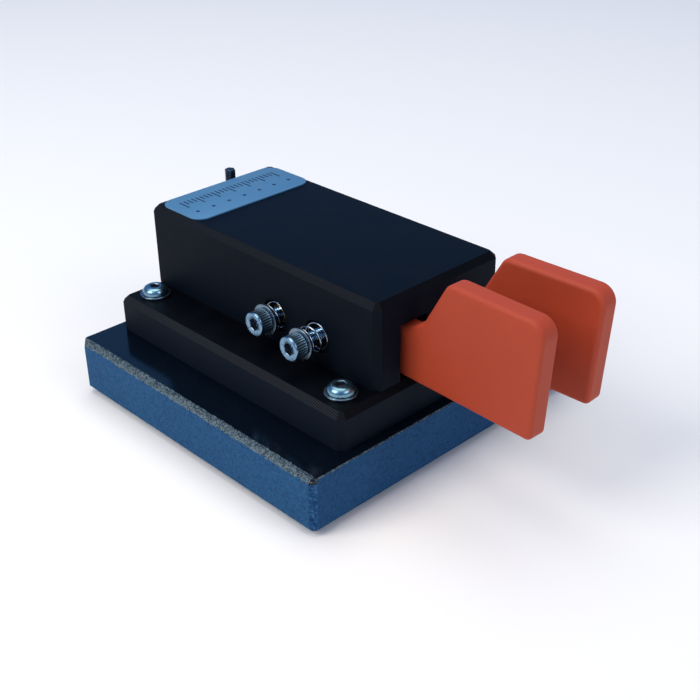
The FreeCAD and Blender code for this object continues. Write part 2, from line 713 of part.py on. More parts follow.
def build_wall_insert(name, side):
    """The brass insert in the cover's side that the rest-stop screw turns in."""
    body = ring_body(
        f"{name}_rest_insert",
        "Sizes.insert_diameter",
        "Sizes.thread_diameter + 2 * Sizes.thread_slack",
        "Sizes.wall_insert_length",
    )
    inner = mirrored(side, f"{SEAT_FLOOR} - Sizes.wall_insert_length")
    place(body, inner, "Sizes.rest_along", "Sizes.adjuster_height", Rotation(Vector(0, 1, 0), 90 * side))


def pan_screw(label, length):
    return screw_body(
        label,
        "Sizes.small_thread",
        length,
        "Sizes.small_head",
        "Sizes.small_head_height",
        "Sizes.small_socket",
        "Sizes.pan_round",
    )


def build_cover_fixings():
    """Cover screws, put in from under the base plate, and the brass inserts they turn in."""
    screw = pan_screw("cover_screw", "Sizes.cover_screw_length")
    group("cover_screws", screw, [(across, along, HEAD_SEAT) for across, along in COVER_FIXINGS], UPWARDS)
    insert = ring_body(
        "cover_insert",
        "Sizes.cover_insert",
        "Sizes.small_thread + 2 * Sizes.thread_slack",
        "Sizes.cover_insert_length",
    )
    group("cover_inserts", insert, [(across, along, PLATE_TOP) for across, along in COVER_FIXINGS])


# ---------------------------------------------------------------- levers

def build_lever(name, side):
    """Finger piece, neck, arm and pivot hub, printed as one piece."""
    body = new_body(f"{name}_lever")
    middle_line = mirrored(side, "Sizes.lever_across")
    finger = new_sketch(body, "YZ_Plane", middle_line)
    finger.AttachmentOffset = Placement(
        Vector(0, 0, 0),
        Rotation(Vector(0, 1, 0), side * VALUE["finger_toe"]),
    )
    finger.setExpression("AttachmentOffset.Base.x", "Sizes.finger_root")
    finger.setExpression("AttachmentOffset.Base.z", middle_line)
    add_polygon(finger, FINGER_OUTLINE)
    add_pad(body, finger, "Sizes.finger_thick", midplane=True)
    round_finger(body)

    arm = new_sketch(body, "XY_Plane", "Sizes.arm_bottom")
    add_rectangle(
        arm,
        f"{middle_line} - Sizes.arm_thick / 2",
        f"{middle_line} + Sizes.arm_thick / 2",
        "Sizes.finger_root",
        "Sizes.pivot_along",
    )
    add_pad(body, arm, "Sizes.arm_top - Sizes.arm_bottom")
    hub = new_sketch(body, "XY_Plane", "Sizes.hub_bottom")
    add_circle(hub, middle_line, "Sizes.pivot_along", "Sizes.hub_diameter")
    add_pad(body, hub, "Sizes.arm_top - Sizes.hub_bottom")
    outer_face = mirrored(side, "Sizes.lever_across + Sizes.arm_thick / 2")
    pad = new_sketch(body, "YZ_Plane", outer_face)
    add_circle(pad, "Sizes.rest_along", "Sizes.adjuster_height", "Sizes.stop_pad")
    add_pad(body, pad, "Sizes.stop_boss", reverse=side == LEFT)

    bore = new_sketch(body, "XY_Plane", "Sizes.arm_top")
    add_circle(bore, middle_line, "Sizes.pivot_along", "Sizes.bearing_bore")
    add_pocket(body, bore, "Sizes.arm_top - Sizes.hub_bottom")
    for lift, reverse in (("Sizes.arm_top", False), ("Sizes.hub_bottom", True)):
        seat = new_sketch(body, "XY_Plane", lift)
        add_circle(seat, middle_line, "Sizes.pivot_along", "Sizes.bearing_diameter")
        add_pocket(body, seat, "Sizes.bearing_width", reverse=reverse)
    cross = new_sketch(body, "YZ_Plane", middle_line)
    add_circle(cross, "Sizes.tension_along", "Sizes.adjuster_height", "Sizes.insert_diameter")
    add_circle(cross, "Sizes.contact_along", "Sizes.adjuster_height", "Sizes.rivet_diameter")
    add_pocket(body, cross, "2 * Sizes.arm_thick", midplane=True)


def from_root(along):
    """A distance towards the rear, counted from where the finger piece leaves the arm."""
    return f"{along} - Sizes.finger_root"


# side view of the finger piece and its neck, from the neck forwards along the top
FINGER_OUTLINE = [
    (from_root("Sizes.neck_back"), "Sizes.neck_top"),
    (from_root("Sizes.neck_front"), "Sizes.neck_top"),
    (from_root("Sizes.ramp_foot"), "Sizes.ramp_height"),
    (from_root("Sizes.finger_back"), "Sizes.finger_top"),
    (from_root("Sizes.finger_tip_high"), "Sizes.finger_top"),
    (from_root("Sizes.finger_tip_low"), "Sizes.finger_bottom"),
    (from_root("Sizes.neck_back"), "Sizes.finger_bottom"),
]


def round_finger(body):
    """Round the corners of the side view, then both long edges up to the neck's rear end."""
    middle_of_top = (VALUE["finger_tip_high"] + VALUE["finger_back"]) / 2
    neck_end = VALUE["neck_back"] - VALUE["finger_edge"] / 2

    def crosswise(along):
        return abs(along.x) > 0.99

    def corner(height, in_front):
        """The crosswise edge at that height, before or behind the middle of the top."""
        return lambda middle, along: (
            crosswise(along)
            and near(middle.z, VALUE[height])
            and (middle.y < middle_of_top) == in_front
            and middle.y < neck_end
        )

    add_fillet(body, corner("finger_top", True), "Sizes.finger_front_round")
    add_fillet(body, corner("finger_top", False), "Sizes.finger_back_round")
    add_fillet(body, corner("finger_bottom", True), "Sizes.finger_low_round")
    add_fillet(
        body,
        lambda middle, along: not crosswise(along) and middle.y < neck_end,
        "Sizes.finger_edge",
    )


def build_lever_fittings(name, side):
    """Bearings, brass insert, contact rivet and contact strip that ride on a lever."""
    middle_line = mirrored(side, "Sizes.lever_across")
    bearing = ring_body(
        f"{name}_bearing",
        "Sizes.bearing_diameter",
        "Sizes.pin_diameter + 2 * Sizes.pin_slack",
        "Sizes.bearing_width",
    )
    group(f"{name}_bearings", bearing, [
        (middle_line, "Sizes.pivot_along", "Sizes.hub_bottom"),
        (middle_line, "Sizes.pivot_along", "Sizes.arm_top - Sizes.bearing_width"),
    ])
    insert = ring_body(
        f"{name}_lever_insert",
        "Sizes.insert_diameter",
        "Sizes.thread_diameter + 2 * Sizes.thread_slack",
        "Sizes.arm_thick",
    )
    outward = Rotation(Vector(0, 1, 0), 90 * side)
    inner_face = mirrored(side, "Sizes.lever_across - Sizes.arm_thick / 2")
    place(insert, inner_face, "Sizes.tension_along", "Sizes.adjuster_height", outward)

    rivet = new_body(f"{name}_contact")
    profile = new_sketch(rivet, "XZ_Plane")
    tip = "Sizes.lever_across - Sizes.arm_thick / 2 - Sizes.post_diameter / 2 - Sizes.contact_gap"
    add_polygon(profile, [
        ("0", f"-({tip})"),
        ("Sizes.rivet_head / 2", f"-({tip})"),
        ("Sizes.rivet_head / 2", "-Sizes.strip_thick"),
        ("Sizes.rivet_diameter / 2", "-Sizes.strip_thick"),
        ("Sizes.rivet_diameter / 2", "Sizes.arm_thick"),
        ("0", "Sizes.arm_thick"),
    ])
    add_revolution(rivet, profile)
    face = min(vertex.Point.z for vertex in rivet.Shape.Vertexes)
    add_fillet(rivet, lambda middle, along: near(middle.z, face), "Sizes.rivet_round")
    place(rivet, inner_face, "Sizes.contact_along", "Sizes.adjuster_height", outward)
    build_strip(name, side)


def build_strip(name, side):
    """Brass strip: a ring on the upper bearing, a run along the arm's top and a tab down to the rivet."""
    strip = new_body(f"{name}_contact_strip")
    middle_line = mirrored(side, "Sizes.lever_across")
    inner_face = mirrored(side, "Sizes.lever_across - Sizes.arm_thick / 2")
    outer_edge = mirrored(side, "Sizes.lever_across + Sizes.strip_width / 2")
    folded = mirrored(side, "Sizes.lever_across - Sizes.arm_thick / 2 - Sizes.strip_thick")
    low, high = (outer_edge, folded) if side == LEFT else (folded, outer_edge)
    flat = new_sketch(strip, "XY_Plane", "Sizes.arm_top")
    front = "Sizes.contact_along - Sizes.strip_tab / 2"
    add_rectangle(flat, low, high, front, "Sizes.pivot_along")
    add_pad(strip, flat, "Sizes.strip_thick")
    ring = new_sketch(strip, "XY_Plane", "Sizes.arm_top")
    add_circle(ring, middle_line, "Sizes.pivot_along", "Sizes.strip_ring")
    add_pad(strip, ring, "Sizes.strip_thick")
    tab = new_sketch(strip, "YZ_Plane", inner_face)
    add_rectangle(
        tab,
        front,
        "Sizes.contact_along + Sizes.strip_tab / 2",
        "Sizes.adjuster_height - Sizes.strip_width",
        "Sizes.arm_top + Sizes.strip_thick",
    )
    add_pad(strip, tab, "Sizes.strip_thick", reverse=side == RIGHT)
    hole = new_sketch(strip, "XY_Plane", "Sizes.arm_top + Sizes.strip_thick")
    add_circle(hole, middle_line, "Sizes.pivot_along", "Sizes.strip_ring_hole")
    add_pocket(strip, hole, "Sizes.strip_thick")
    rivet_hole = new_sketch(strip, "YZ_Plane", inner_face)
    add_circle(rivet_hole, "Sizes.contact_along", "Sizes.adjuster_height", "Sizes.rivet_diameter")
    add_pocket(strip, rivet_hole, "2 * Sizes.strip_thick", midplane=True)


def build_pivot_pin(name, side):
    body = new_body(f"{name}_pivot_pin")
    sketch = new_sketch(body, "XY_Plane")
    add_circle(sketch, "0", "0", "Sizes.pin_diameter")
    add_pad(body, sketch, "Sizes.pin_length")
    add_chamfer(body, lambda middle, along: abs(along.z) < 0.5, "Sizes.pin_bevel")
    foot = f"{PLATE_TOP} - Sizes.pin_depth"
    place(body, mirrored(side, "Sizes.lever_across"), "Sizes.pivot_along", foot)


# ---------------------------------------------------------------- contacts, jack and wires

def build_contact_post():
    post = new_body("contact_post")
    sketch = new_sketch(post, "XY_Plane", TERMINAL_TOP)
    add_circle(sketch, "0", "0", "Sizes.post_diameter")
    add_pad(post, sketch, f"Sizes.post_top - {TERMINAL_TOP}")
    top = VALUE["post_top"]
    add_chamfer(post, lambda middle, along: near(middle.z, top), "Sizes.post_bevel")
    hole = new_sketch(post, "XY_Plane", TERMINAL_TOP)
    add_circle(hole, "0", "0", "Sizes.small_thread + 2 * Sizes.thread_slack")
    add_pocket(post, hole, "Sizes.post_hole", reverse=True)
    place(post, "0", "Sizes.contact_along", "0")
    screw = pan_screw("contact_post_screw", "Sizes.post_screw_length")
    place(screw, "0", "Sizes.contact_along", HEAD_SEAT, UPWARDS)


def terminal_body(label, bore):
    """A ring terminal lying flat, its tail towards the rear."""
    body = new_body(label)
    sketch = new_sketch(body, "XY_Plane")
    add_circle(sketch, "0", "0", "Sizes.terminal_diameter")
    add_pad(body, sketch, "Sizes.terminal_thick")
    tail = new_sketch(body, "XY_Plane")
    half = "Sizes.terminal_tail_width / 2"
    add_rectangle(tail, f"-{half}", half, "Sizes.terminal_diameter / 4", "Sizes.terminal_tail")
    add_pad(body, tail, "Sizes.terminal_thick")
    hole = new_sketch(body, "XY_Plane", "Sizes.terminal_thick")
    add_circle(hole, "0", "0", bore)
    add_pocket(body, hole, "Sizes.terminal_thick")
    return body


def build_terminals():
    pivot = terminal_body("pivot_terminal", "Sizes.pin_diameter + Sizes.terminal_slack")
    group("pivot_terminals", pivot, [
        (mirrored(side, "Sizes.lever_across"), "Sizes.pivot_along", PLATE_TOP)
        for side in (LEFT, RIGHT)
    ])
    post = terminal_body("post_terminal", "Sizes.small_thread + 2 * Sizes.terminal_slack")
    place(post, "0", "Sizes.contact_along", PLATE_TOP)


def build_jack():
    """Panel jack for a 3.5 mm plug: housing inside the rear wall, barrel through it, nut outside."""
    jack = new_body("jack_body")
    inner_wall = f"({COVER_REAR} - Sizes.cover_wall)"
    housing = new_sketch(jack, "XZ_Plane", f"-{inner_wall}")
    add_rectangle(
        housing,
        "Sizes.jack_across - Sizes.jack_width / 2",
        "Sizes.jack_across + Sizes.jack_width / 2",
        "Sizes.jack_height - Sizes.jack_tall / 2",
        "Sizes.jack_height + Sizes.jack_tall / 2",
    )
    add_pad(jack, housing, "Sizes.jack_depth")
    barrel = new_sketch(jack, "XZ_Plane", f"-{inner_wall}")
    add_circle(barrel, "Sizes.jack_across", "Sizes.jack_height", "Sizes.jack_barrel")
    add_pad(jack, barrel, "Sizes.jack_reach", reverse=True)
    mouth = new_sketch(jack, "XZ_Plane", f"-({inner_wall} + Sizes.jack_reach)")
    add_circle(mouth, "Sizes.jack_across", "Sizes.jack_height", "Sizes.jack_bore")
    add_pocket(jack, mouth, "Sizes.jack_bore_length", reverse=True)
    lugs = new_sketch(jack, "XZ_Plane", f"-({inner_wall} - Sizes.jack_depth)")
    for step in (-1, 0, 1):
        middle = f"Sizes.jack_across + {step} * Sizes.lug_spacing"
        add_rectangle(
            lugs,
            f"{middle} - Sizes.lug_width / 2",
            f"{middle} + Sizes.lug_width / 2",
            "Sizes.jack_height - Sizes.lug_drop",
            "Sizes.jack_height - Sizes.lug_drop + Sizes.lug_thick",
        )
    add_pad(jack, lugs, "Sizes.lug_length")

    nut = new_body("jack_nut")
    outline = new_sketch(nut, "XZ_Plane", f"-{COVER_REAR}")
    add_hexagon(outline, "Sizes.jack_across", "Sizes.jack_height", "Sizes.jack_nut_flats", 30)
    hole = "Sizes.jack_barrel + 2 * Sizes.thread_slack"
    add_circle(outline, "Sizes.jack_across", "Sizes.jack_height", hole)
    add_pad(nut, outline, "Sizes.jack_nut_thick", reverse=True)


def rounded_route(points, share=0.45):
    """Straight runs joined by tangent arcs, each arc as large as its two runs allow."""
    edges = []
    start = points[0]
    for before, corner, after in zip(points, points[1:], points[2:]):
        back = (before - corner).normalize()
        forth = (after - corner).normalize()
        turn = math.pi - back.getAngle(forth)
        cut = share * min((before - corner).Length, (after - corner).Length)
        radius = cut / math.tan(turn / 2)
        first = corner + back * cut
        last = corner + forth * cut
        towards = (back + forth).normalize()
        centre = corner + towards * (radius / math.cos(turn / 2))
        middle = centre - towards * radius
        edges.append(Part.LineSegment(start, first).toShape())
        edges.append(Part.Arc(first, middle, last).toShape())
        start = last
    edges.append(Part.LineSegment(start, points[-1]).toShape())
    return Part.Wire(edges)


def tube_along(points, diameter):
    path = rounded_route(points)
    ring = Part.Wire(Part.makeCircle(diameter / 2, points[0], points[1] - points[0]))
    return path.makePipeShell([ring], True, False)


def build_wires():
    """Three hook-up wires, each from a terminal's tail along the floor and up to one of the jack's lugs."""
    wire = VALUE["wire_diameter"]
    plate_top = VALUE["slab_thick"] + VALUE["plate_thick"]
    floor = plate_top + VALUE["terminal_thick"] + VALUE["wire_gap"] + wire / 2
    lug_height = VALUE["jack_height"] - VALUE["lug_drop"] - VALUE["wire_gap"] - wire / 2
    cover_rear = VALUE["cover_mid"] + VALUE["cover_length"] / 2
    lug_along = cover_rear - VALUE["cover_wall"] - VALUE["jack_depth"] - VALUE["lug_length"] / 3
    lugs = [VALUE["jack_across"] + step * VALUE["lug_spacing"] for step in (-1, 0, 1)]
    reach = VALUE["terminal_tail"] - wire
    pivot = VALUE["lever_across"]
    pivot_tail = VALUE["pivot_along"] + reach
    post_tail = VALUE["contact_along"] + reach
    routes = [
        [
            Vector(-pivot, pivot_tail, floor),
            Vector(-pivot - 1, 22, floor),
            Vector(lugs[0], 28, lug_height),
            Vector(lugs[0], lug_along, lug_height),
        ],
        [
            Vector(0, post_tail, floor),
            Vector(0.6, -6, floor),
            Vector(-0.6, 14, floor),
            Vector(lugs[1], 28, lug_height),
            Vector(lugs[1], lug_along, lug_height),
        ],
        [
            Vector(pivot, pivot_tail, floor),
            Vector(pivot - 3, 19, floor),
            Vector(lugs[2], 26, lug_height),
            Vector(lugs[2], lug_along, lug_height),
        ],
    ]
    wires = doc.addObject("Part::Feature", "jack_wires")
    wires.Shape = Part.makeCompound([tube_along(route, wire) for route in routes])
    wires.Label = "jack_wires"
    wires.Placement = Placement()


def build_hex_key():
    """L-shaped hex key: long arm stored in the cover's tunnel, short arm upright behind the rear wall."""
    body = new_body("hex_key")
    spine = new_sketch(body, "YZ_Plane")
    add_l_line(spine, KEY_TIP, KEY_AXIS_HEIGHT, KEY_UPRIGHT, "Sizes.key_top", "Sizes.key_bend")
    profile = new_sketch(body, "XZ_Plane", f"-{KEY_TIP}")
    add_hexagon(profile, "0", KEY_AXIS_HEIGHT, "Sizes.key_flats")
    doc.recompute()
    pipe = body.newObject("PartDesign::AdditivePipe", "Pipe")
    pipe.Profile = profile
    pipe.Spine = (spine, [])
    doc.recompute()
    ends = body.Shape.BoundBox
    add_chamfer(
        body,
        lambda middle, along: near(middle.z, ends.ZMax) or near(middle.y, ends.YMin),
        "Sizes.key_tip_bevel",
    )
    place(body, "Sizes.key_across", "0", "0")


def add_l_line(sketch, start, low, end, high, bend):
    """An L in the sketch: along at the low height, round a bend, and up to the high one."""
    sketch.addGeometry(Part.LineSegment(Vector(0, 0, 0), Vector(9, 0, 0)), False)
    knee = Vector(9 + math.sin(math.pi / 4), 1 - math.cos(math.pi / 4), 0)
    sketch.addGeometry(Part.Arc(Vector(9, 0, 0), knee, Vector(10, 1, 0)), False)
    sketch.addGeometry(Part.LineSegment(Vector(10, 1, 0), Vector(10, 9, 0)), False)
    sketch.addConstraint(Sketcher.Constraint("Tangent", 0, 2, 1, 1))
    sketch.addConstraint(Sketcher.Constraint("Tangent", 1, 2, 2, 1))
    sketch.addConstraint(Sketcher.Constraint("Horizontal", 0))
    sketch.addConstraint(Sketcher.Constraint("Vertical", 2))
    bind(sketch, "Radius", (1,), bend)
    bind(sketch, "DistanceX", (-1, 1, 0, 1), start)
    bind(sketch, "DistanceY", (-1, 1, 0, 1), low)
    bind(sketch, "DistanceX", (-1, 1, 2, 2), end)
    bind(sketch, "DistanceY", (-1, 1, 2, 2), high)


# ---------------------------------------------------------------- assembly

SUBPARTS = [
    "granite_slab", "rubber_feet", "slab_inserts", "base_plate", "base_screws", "base_washers",
    "top_cover", "label_plate", "cover_screws", "cover_inserts",
    "contact_post", "contact_post_screw", "post_terminal", "pivot_terminals",
    "jack_body", "jack_nut", "jack_wires", "hex_key",
]
SIDE_SUBPARTS = [
    "lever", "bearings", "lever_insert", "contact", "contact_strip", "pivot_pin", "rest_insert",
    "tension_screw", "tension_washer", "tension_spring", "rest_screw", "rest_washer", "rest_spring",
]


def check(objects):
    """Stop if anything in the document failed, or a sub-part has no valid solid."""
    for item in doc.Objects:
        if "Invalid" in item.State or "Error" in item.State:
            raise RuntimeError(f"{item.Label} failed: {item.State}")
    for item in objects:
        shape = item.Shape
        if shape.isNull() or not shape.isValid() or not shape.Solids:
            raise RuntimeError(f"{item.Label} has no valid solid")


def main():
    fill_sheet()
    build_slab()
    build_feet()
    build_base_plate()
    build_base_fixings()
    build_cover()
    build_label()
    build_cover_fixings()
    build_contact_post()
    build_terminals()
    build_jack()
    build_wires()
    build_hex_key()
    for name, side in SIDES:
        build_lever(name, side)
        build_lever_fittings(name, side)
        build_pivot_pin(name, side)
        build_wall_insert(name, side)
        build_adjuster(name, side, "tension", "Sizes.tension_turns")
        build_adjuster(name, side, "rest", "Sizes.rest_turns")
    doc.recompute()
    labels = SUBPARTS + [f"{name}_{item}" for name, _ in SIDES for item in SIDE_SUBPARTS]
    pieces = [doc.getObjectsByLabel(label)[0] for label in labels]
    check(pieces)
    os.makedirs("parts", exist_ok=True)
    for piece in pieces:
        piece.Shape.exportStep(f"parts/{piece.Label}.step")
    print(f"{len(pieces)} sub-parts written")


main()
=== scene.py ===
"""Looks of the twin-lever Morse key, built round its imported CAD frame.

Every CAD size below is in millimetres and becomes metres when a mesh is made. +Z is up, the finger
pieces point towards -Y, and +X is to the right as seen from the finger pieces.
"""

import math

import bpy
import bmesh
from mathutils import Matrix, Vector, noise


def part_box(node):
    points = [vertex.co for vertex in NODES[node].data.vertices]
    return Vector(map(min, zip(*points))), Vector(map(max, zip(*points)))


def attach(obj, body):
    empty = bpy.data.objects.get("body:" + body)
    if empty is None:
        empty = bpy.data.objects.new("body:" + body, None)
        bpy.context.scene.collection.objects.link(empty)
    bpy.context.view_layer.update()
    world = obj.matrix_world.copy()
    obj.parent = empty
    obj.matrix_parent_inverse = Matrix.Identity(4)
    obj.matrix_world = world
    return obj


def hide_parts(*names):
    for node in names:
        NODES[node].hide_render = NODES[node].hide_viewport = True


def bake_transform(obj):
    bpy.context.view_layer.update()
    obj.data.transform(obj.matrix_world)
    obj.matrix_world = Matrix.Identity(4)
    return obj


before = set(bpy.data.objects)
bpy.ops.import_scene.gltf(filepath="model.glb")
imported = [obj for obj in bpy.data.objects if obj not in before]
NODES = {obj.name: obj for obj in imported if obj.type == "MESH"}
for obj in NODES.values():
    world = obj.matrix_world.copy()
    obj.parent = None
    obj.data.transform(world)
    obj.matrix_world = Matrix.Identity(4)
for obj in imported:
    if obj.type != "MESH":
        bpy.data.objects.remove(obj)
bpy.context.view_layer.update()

MM = 0.001
FULL_TURN = 2 * math.pi
SIDES = (("left", -1), ("right", 1))
SMOOTH_BELOW = math.radians(32)

# sizes that several pieces share; those of round parts are radii
SLAB_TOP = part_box("granite_slab")[1].z / MM
SIDE_BEVEL = 1.6
M4_SHANK = 2.0
M4_PITCH = 0.7
M4_TAPPED = 2.03
CAP_HEAD = 3.5
CAP_HEIGHT = 4.0
RIDGE_DEPTH = 0.2
BUTTON_HEAD = 3.8
BUTTON_HEIGHT = 2.2
WASHER = 4.5
WASHER_BORE = 2.15
SLAB_INSERT = 3.0
COVER_INSERT = 2.1
M3_TAPPED = 1.53
FOOT = 6.0

# directions that a piece's own +Z axis may be turned to
UP = Matrix.Identity(3)
TOWARDS_REAR = Matrix.Rotation(math.radians(-90), 3, "X")
TOWARDS_LEFT = Matrix.Rotation(math.radians(-90), 3, "Y")
TOWARDS_RIGHT = Matrix.Rotation(math.radians(90), 3, "Y")


# ---- places read from the frame

def box_mm(node):
    """Lowest and highest corner of a CAD node, in millimetres."""
    low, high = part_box(node)
    return low / MM, high / MM


def corner_places(node, radius):
    """Centres of four like pieces of one node that stand at the corners of its box."""
    low, high = box_mm(node)
    return [
        (x, y)
        for x in (low.x + radius, high.x - radius)
        for y in (low.y + radius, high.y - radius)
    ]


# ---- mesh building

class Shape:
    """Points and faces of a piece, in millimetres, before they become a mesh."""

    def __init__(self):
        self.points = []
        self.faces = []
        self.finishes = []

    def add_row(self, row):
        first = len(self.points)
        self.points.extend(Vector(point) for point in row)
        return list(range(first, len(self.points)))

    def add_face(self, numbers, finish=0):
        self.faces.append(numbers)
        self.finishes.append(finish)

    def join_rows(self, low, high, finish=0):
        """Join two closed rows whose counts are equal, or one a whole multiple of the other."""
        if len(low) == 1 or len(high) == 1:
            self.join_pole(low, high, finish)
            return
        steps = min(len(low), len(high))
        if max(len(low), len(high)) % steps:
            raise ValueError(f"rows of {len(low)} and {len(high)} points can't be joined")

        def stretch_of(row, number):
            """The points of a row that one face takes."""
            fine = len(row) // steps
            return [row[(number * fine + step) % len(row)] for step in range(fine + 1)]

        for number in range(steps):
            self.add_face(stretch_of(low, number) + stretch_of(high, number)[::-1], finish)

    def join_pole(self, low, high, finish):
        """A fan of triangles between a closed row and a single point."""
        ring = high if len(low) == 1 else low
        for number, point in enumerate(ring):
            following = ring[(number + 1) % len(ring)]
            if len(low) == 1:
                self.add_face([low[0], following, point], finish)
            else:
                self.add_face([point, following, high[0]], finish)

    def add_skin(self, rows, closed=False, finish=0):
        """Skin closed rows one after the other; if closed, the last also joins the first."""
        numbered = [self.add_row(row) for row in rows]
        for low, high in zip(numbered, numbered[1:]):
            self.join_rows(low, high, finish)
        if closed:
            self.join_rows(numbered[-1], numbered[0], finish)
        return numbered

    def add_shape(self, other, place=(0, 0, 0), turn=UP, finish=None):
        """Add a copy of another shape, turned and then moved."""
        first = len(self.points)
        self.points.extend(turn @ point + Vector(place) for point in other.points)
        for face, own in zip(other.faces, other.finishes):
            self.add_face([first + number for number in face], own if finish is None else finish)


def new_object(name, data):
    """A new object in the scene."""
    made = bpy.data.objects.new(name, data)
    bpy.context.scene.collection.objects.link(made)
    return made


def make_object(name, shape, finishes, place=(0, 0, 0), turn=UP):
    """Turn a shape into a Blender object at a place in the frame, given in millimetres."""
    mesh = bpy.data.meshes.new(name)
    mesh.from_pydata([point * MM for point in shape.points], [], shape.faces)
    for finish in finishes:
        mesh.materials.append(MATERIALS[finish])
    mesh.polygons.foreach_set("material_index", shape.finishes)
    mesh.polygons.foreach_set("use_smooth", [True] * len(shape.faces))
    mesh.update()
    mesh.set_sharp_from_angle(angle=SMOOTH_BELOW)
    piece = new_object(name, mesh)
    piece.matrix_world = Matrix.Translation(Vector(place) * MM) @ turn.to_4x4()
    return piece


def settle(piece, body, slot, *nodes):
    """The piece rides on a body and stands for CAD nodes; its material slot is not used."""
    bpy.context.view_layer.update()
    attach(piece, body)
    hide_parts(*nodes)


def add_piece(name, shape, finishes, body, slot, node, place=(0, 0, 0), turn=UP):
    """Make a piece and settle it on its body, in the place of a CAD node."""
    settle(make_object(name, shape, finishes, place, turn), body, slot, node)


def ring(radius, height, count):
    """A closed row round the Z axis; radius is a number, or a function of the bearing."""
    row = []
    for number in range(count):
        bearing = FULL_TURN * number / count
        reach = radius(bearing) if callable(radius) else radius
        row.append((reach * math.cos(bearing), reach * math.sin(bearing), height))
    return row


def pole(height):
    """A row that is a single point on the Z axis."""
    return [(0.0, 0.0, height)]


def turned(profile, count):
    """Rows of a turned piece, from pairs of radius and height."""
    return [ring(out, up, count) for out, up in profile]


def one_skin(rows, closed=False):
    """A shape that is a single skin."""
    shape = Shape()
    shape.add_skin(rows, closed)
    return shape


def prism(rows):
    """A skin whose first and last rows are capped with flat faces."""
    shape = Shape()
    numbered = shape.add_skin(rows)
    shape.add_face(numbered[0][::-1])
    shape.add_face(numbered[-1])
    return shape


def copies(shape, places, height):
    """One shape repeated at places on one height."""
    group = Shape()
    for x, y in places:
        group.add_shape(shape, (x, y, height))
    return group


def rounded_corner(radius, height, fillet, begin, end, steps=4):
    """Points of a profile's fillet, from its centre, its radius and its bearings in degrees."""
    points = []
    for step in range(steps + 1):
        bearing = math.radians(begin + (end - begin) * step / steps)
        points.append((radius + fillet * math.cos(bearing), height + fillet * math.sin(bearing)))
    return points


def hexagon(flats, bearing):
    """Distance from the middle of a hexagon to its outline on a bearing."""
    sixth = FULL_TURN / 6
    off_flat = (bearing % sixth) - sixth / 2
    return flats / 2 / math.cos(off_flat)


# ---- turned and threaded pieces

THREAD_COUNT = 24
THREAD_STEPS = 6
THREAD_DEPTH = 0.55  # share of the pitch


def thread_rows(outside, pitch, low, high, count=THREAD_COUNT):
    """Rows of an outside thread with flat crests, which runs out over one pitch at both ends."""
    steps = max(2, round((high - low) / pitch * THREAD_STEPS))
    rows = []
    for step in range(steps + 1):
        height = low + (high - low) * step / steps
        fade = min(1.0, max(0.0, (height - low) / pitch), max(0.0, (high - height) / pitch))

        def reach(bearing):
            phase = (height / pitch - bearing / FULL_TURN) % 1.0
            flank = min(1.0, max(0.0, abs(phase - 0.5) * 4 - 0.5))
            return outside - THREAD_DEPTH * pitch * flank * fade

        rows.append(ring(reach, height, count))
    return rows


def socket_rows(flats, top, depth, count):
    """Rows of a hexagon socket, its mouth chamfered and a drilled cone at its bottom."""
    mouth = flats / math.sqrt(3) + 0.12
    floor = top - depth

    def outline(bearing):
        return hexagon(flats, bearing)

    return [
        ring(mouth, top, count),
        ring(lambda bearing: (mouth + outline(bearing)) / 2, top - 0.07, count),
        ring(outline, top - 0.22, count),
        ring(outline, floor, count),
        ring(0.72 * flats / 2, floor - 0.04, count),
        pole(floor - 0.35),
    ]


def shank_rows(length):
    """Rows of an M4 screw's shank from its tip, at -length, up to its head, at 0."""
    tip = 0.4
    core = M4_SHANK - THREAD_DEPTH * M4_PITCH
    rows = [pole(-length)]
    rows += turned([(core - tip / 2, -length), (core, -length + tip / 2)], THREAD_COUNT)
    rows += thread_rows(M4_SHANK, M4_PITCH, -length + tip / 2 + 0.02, -0.5)
    rows += turned([(M4_SHANK - 0.06, -0.35), (M4_SHANK - 0.02, 0.0)], THREAD_COUNT)
    return rows


# a screw's finishes, besides 0 for its head and shank
SOCKET = 1
KNURL = 2


def button_screw_shape(length):
    """An M4 button head screw: domed head, hexagon socket and threaded shank."""
    flat = 1.95
    brim = 0.42
    steps = 9
    count = 2 * THREAD_COUNT
    profile = [
        (BUTTON_HEAD - 0.25, 0.0),
        (BUTTON_HEAD - 0.08, 0.04),
        (BUTTON_HEAD, 0.16),
        (BUTTON_HEAD, 0.36),
    ]
    for step in range(steps + 1):
        bearing = math.radians(90) * step / steps
        out = BUTTON_HEAD - 0.02 - (BUTTON_HEAD - flat - 0.02) * (1 - math.cos(bearing))
        profile.append((out, brim + (BUTTON_HEIGHT - brim) * math.sin(bearing)))
    socket = socket_rows(flats=2.5, top=BUTTON_HEIGHT, depth=1.3, count=count)
    shape = Shape()
    shape.add_skin(shank_rows(length) + turned(profile, count) + socket[:2])
    shape.add_skin(socket[1:], finish=SOCKET)
    return shape


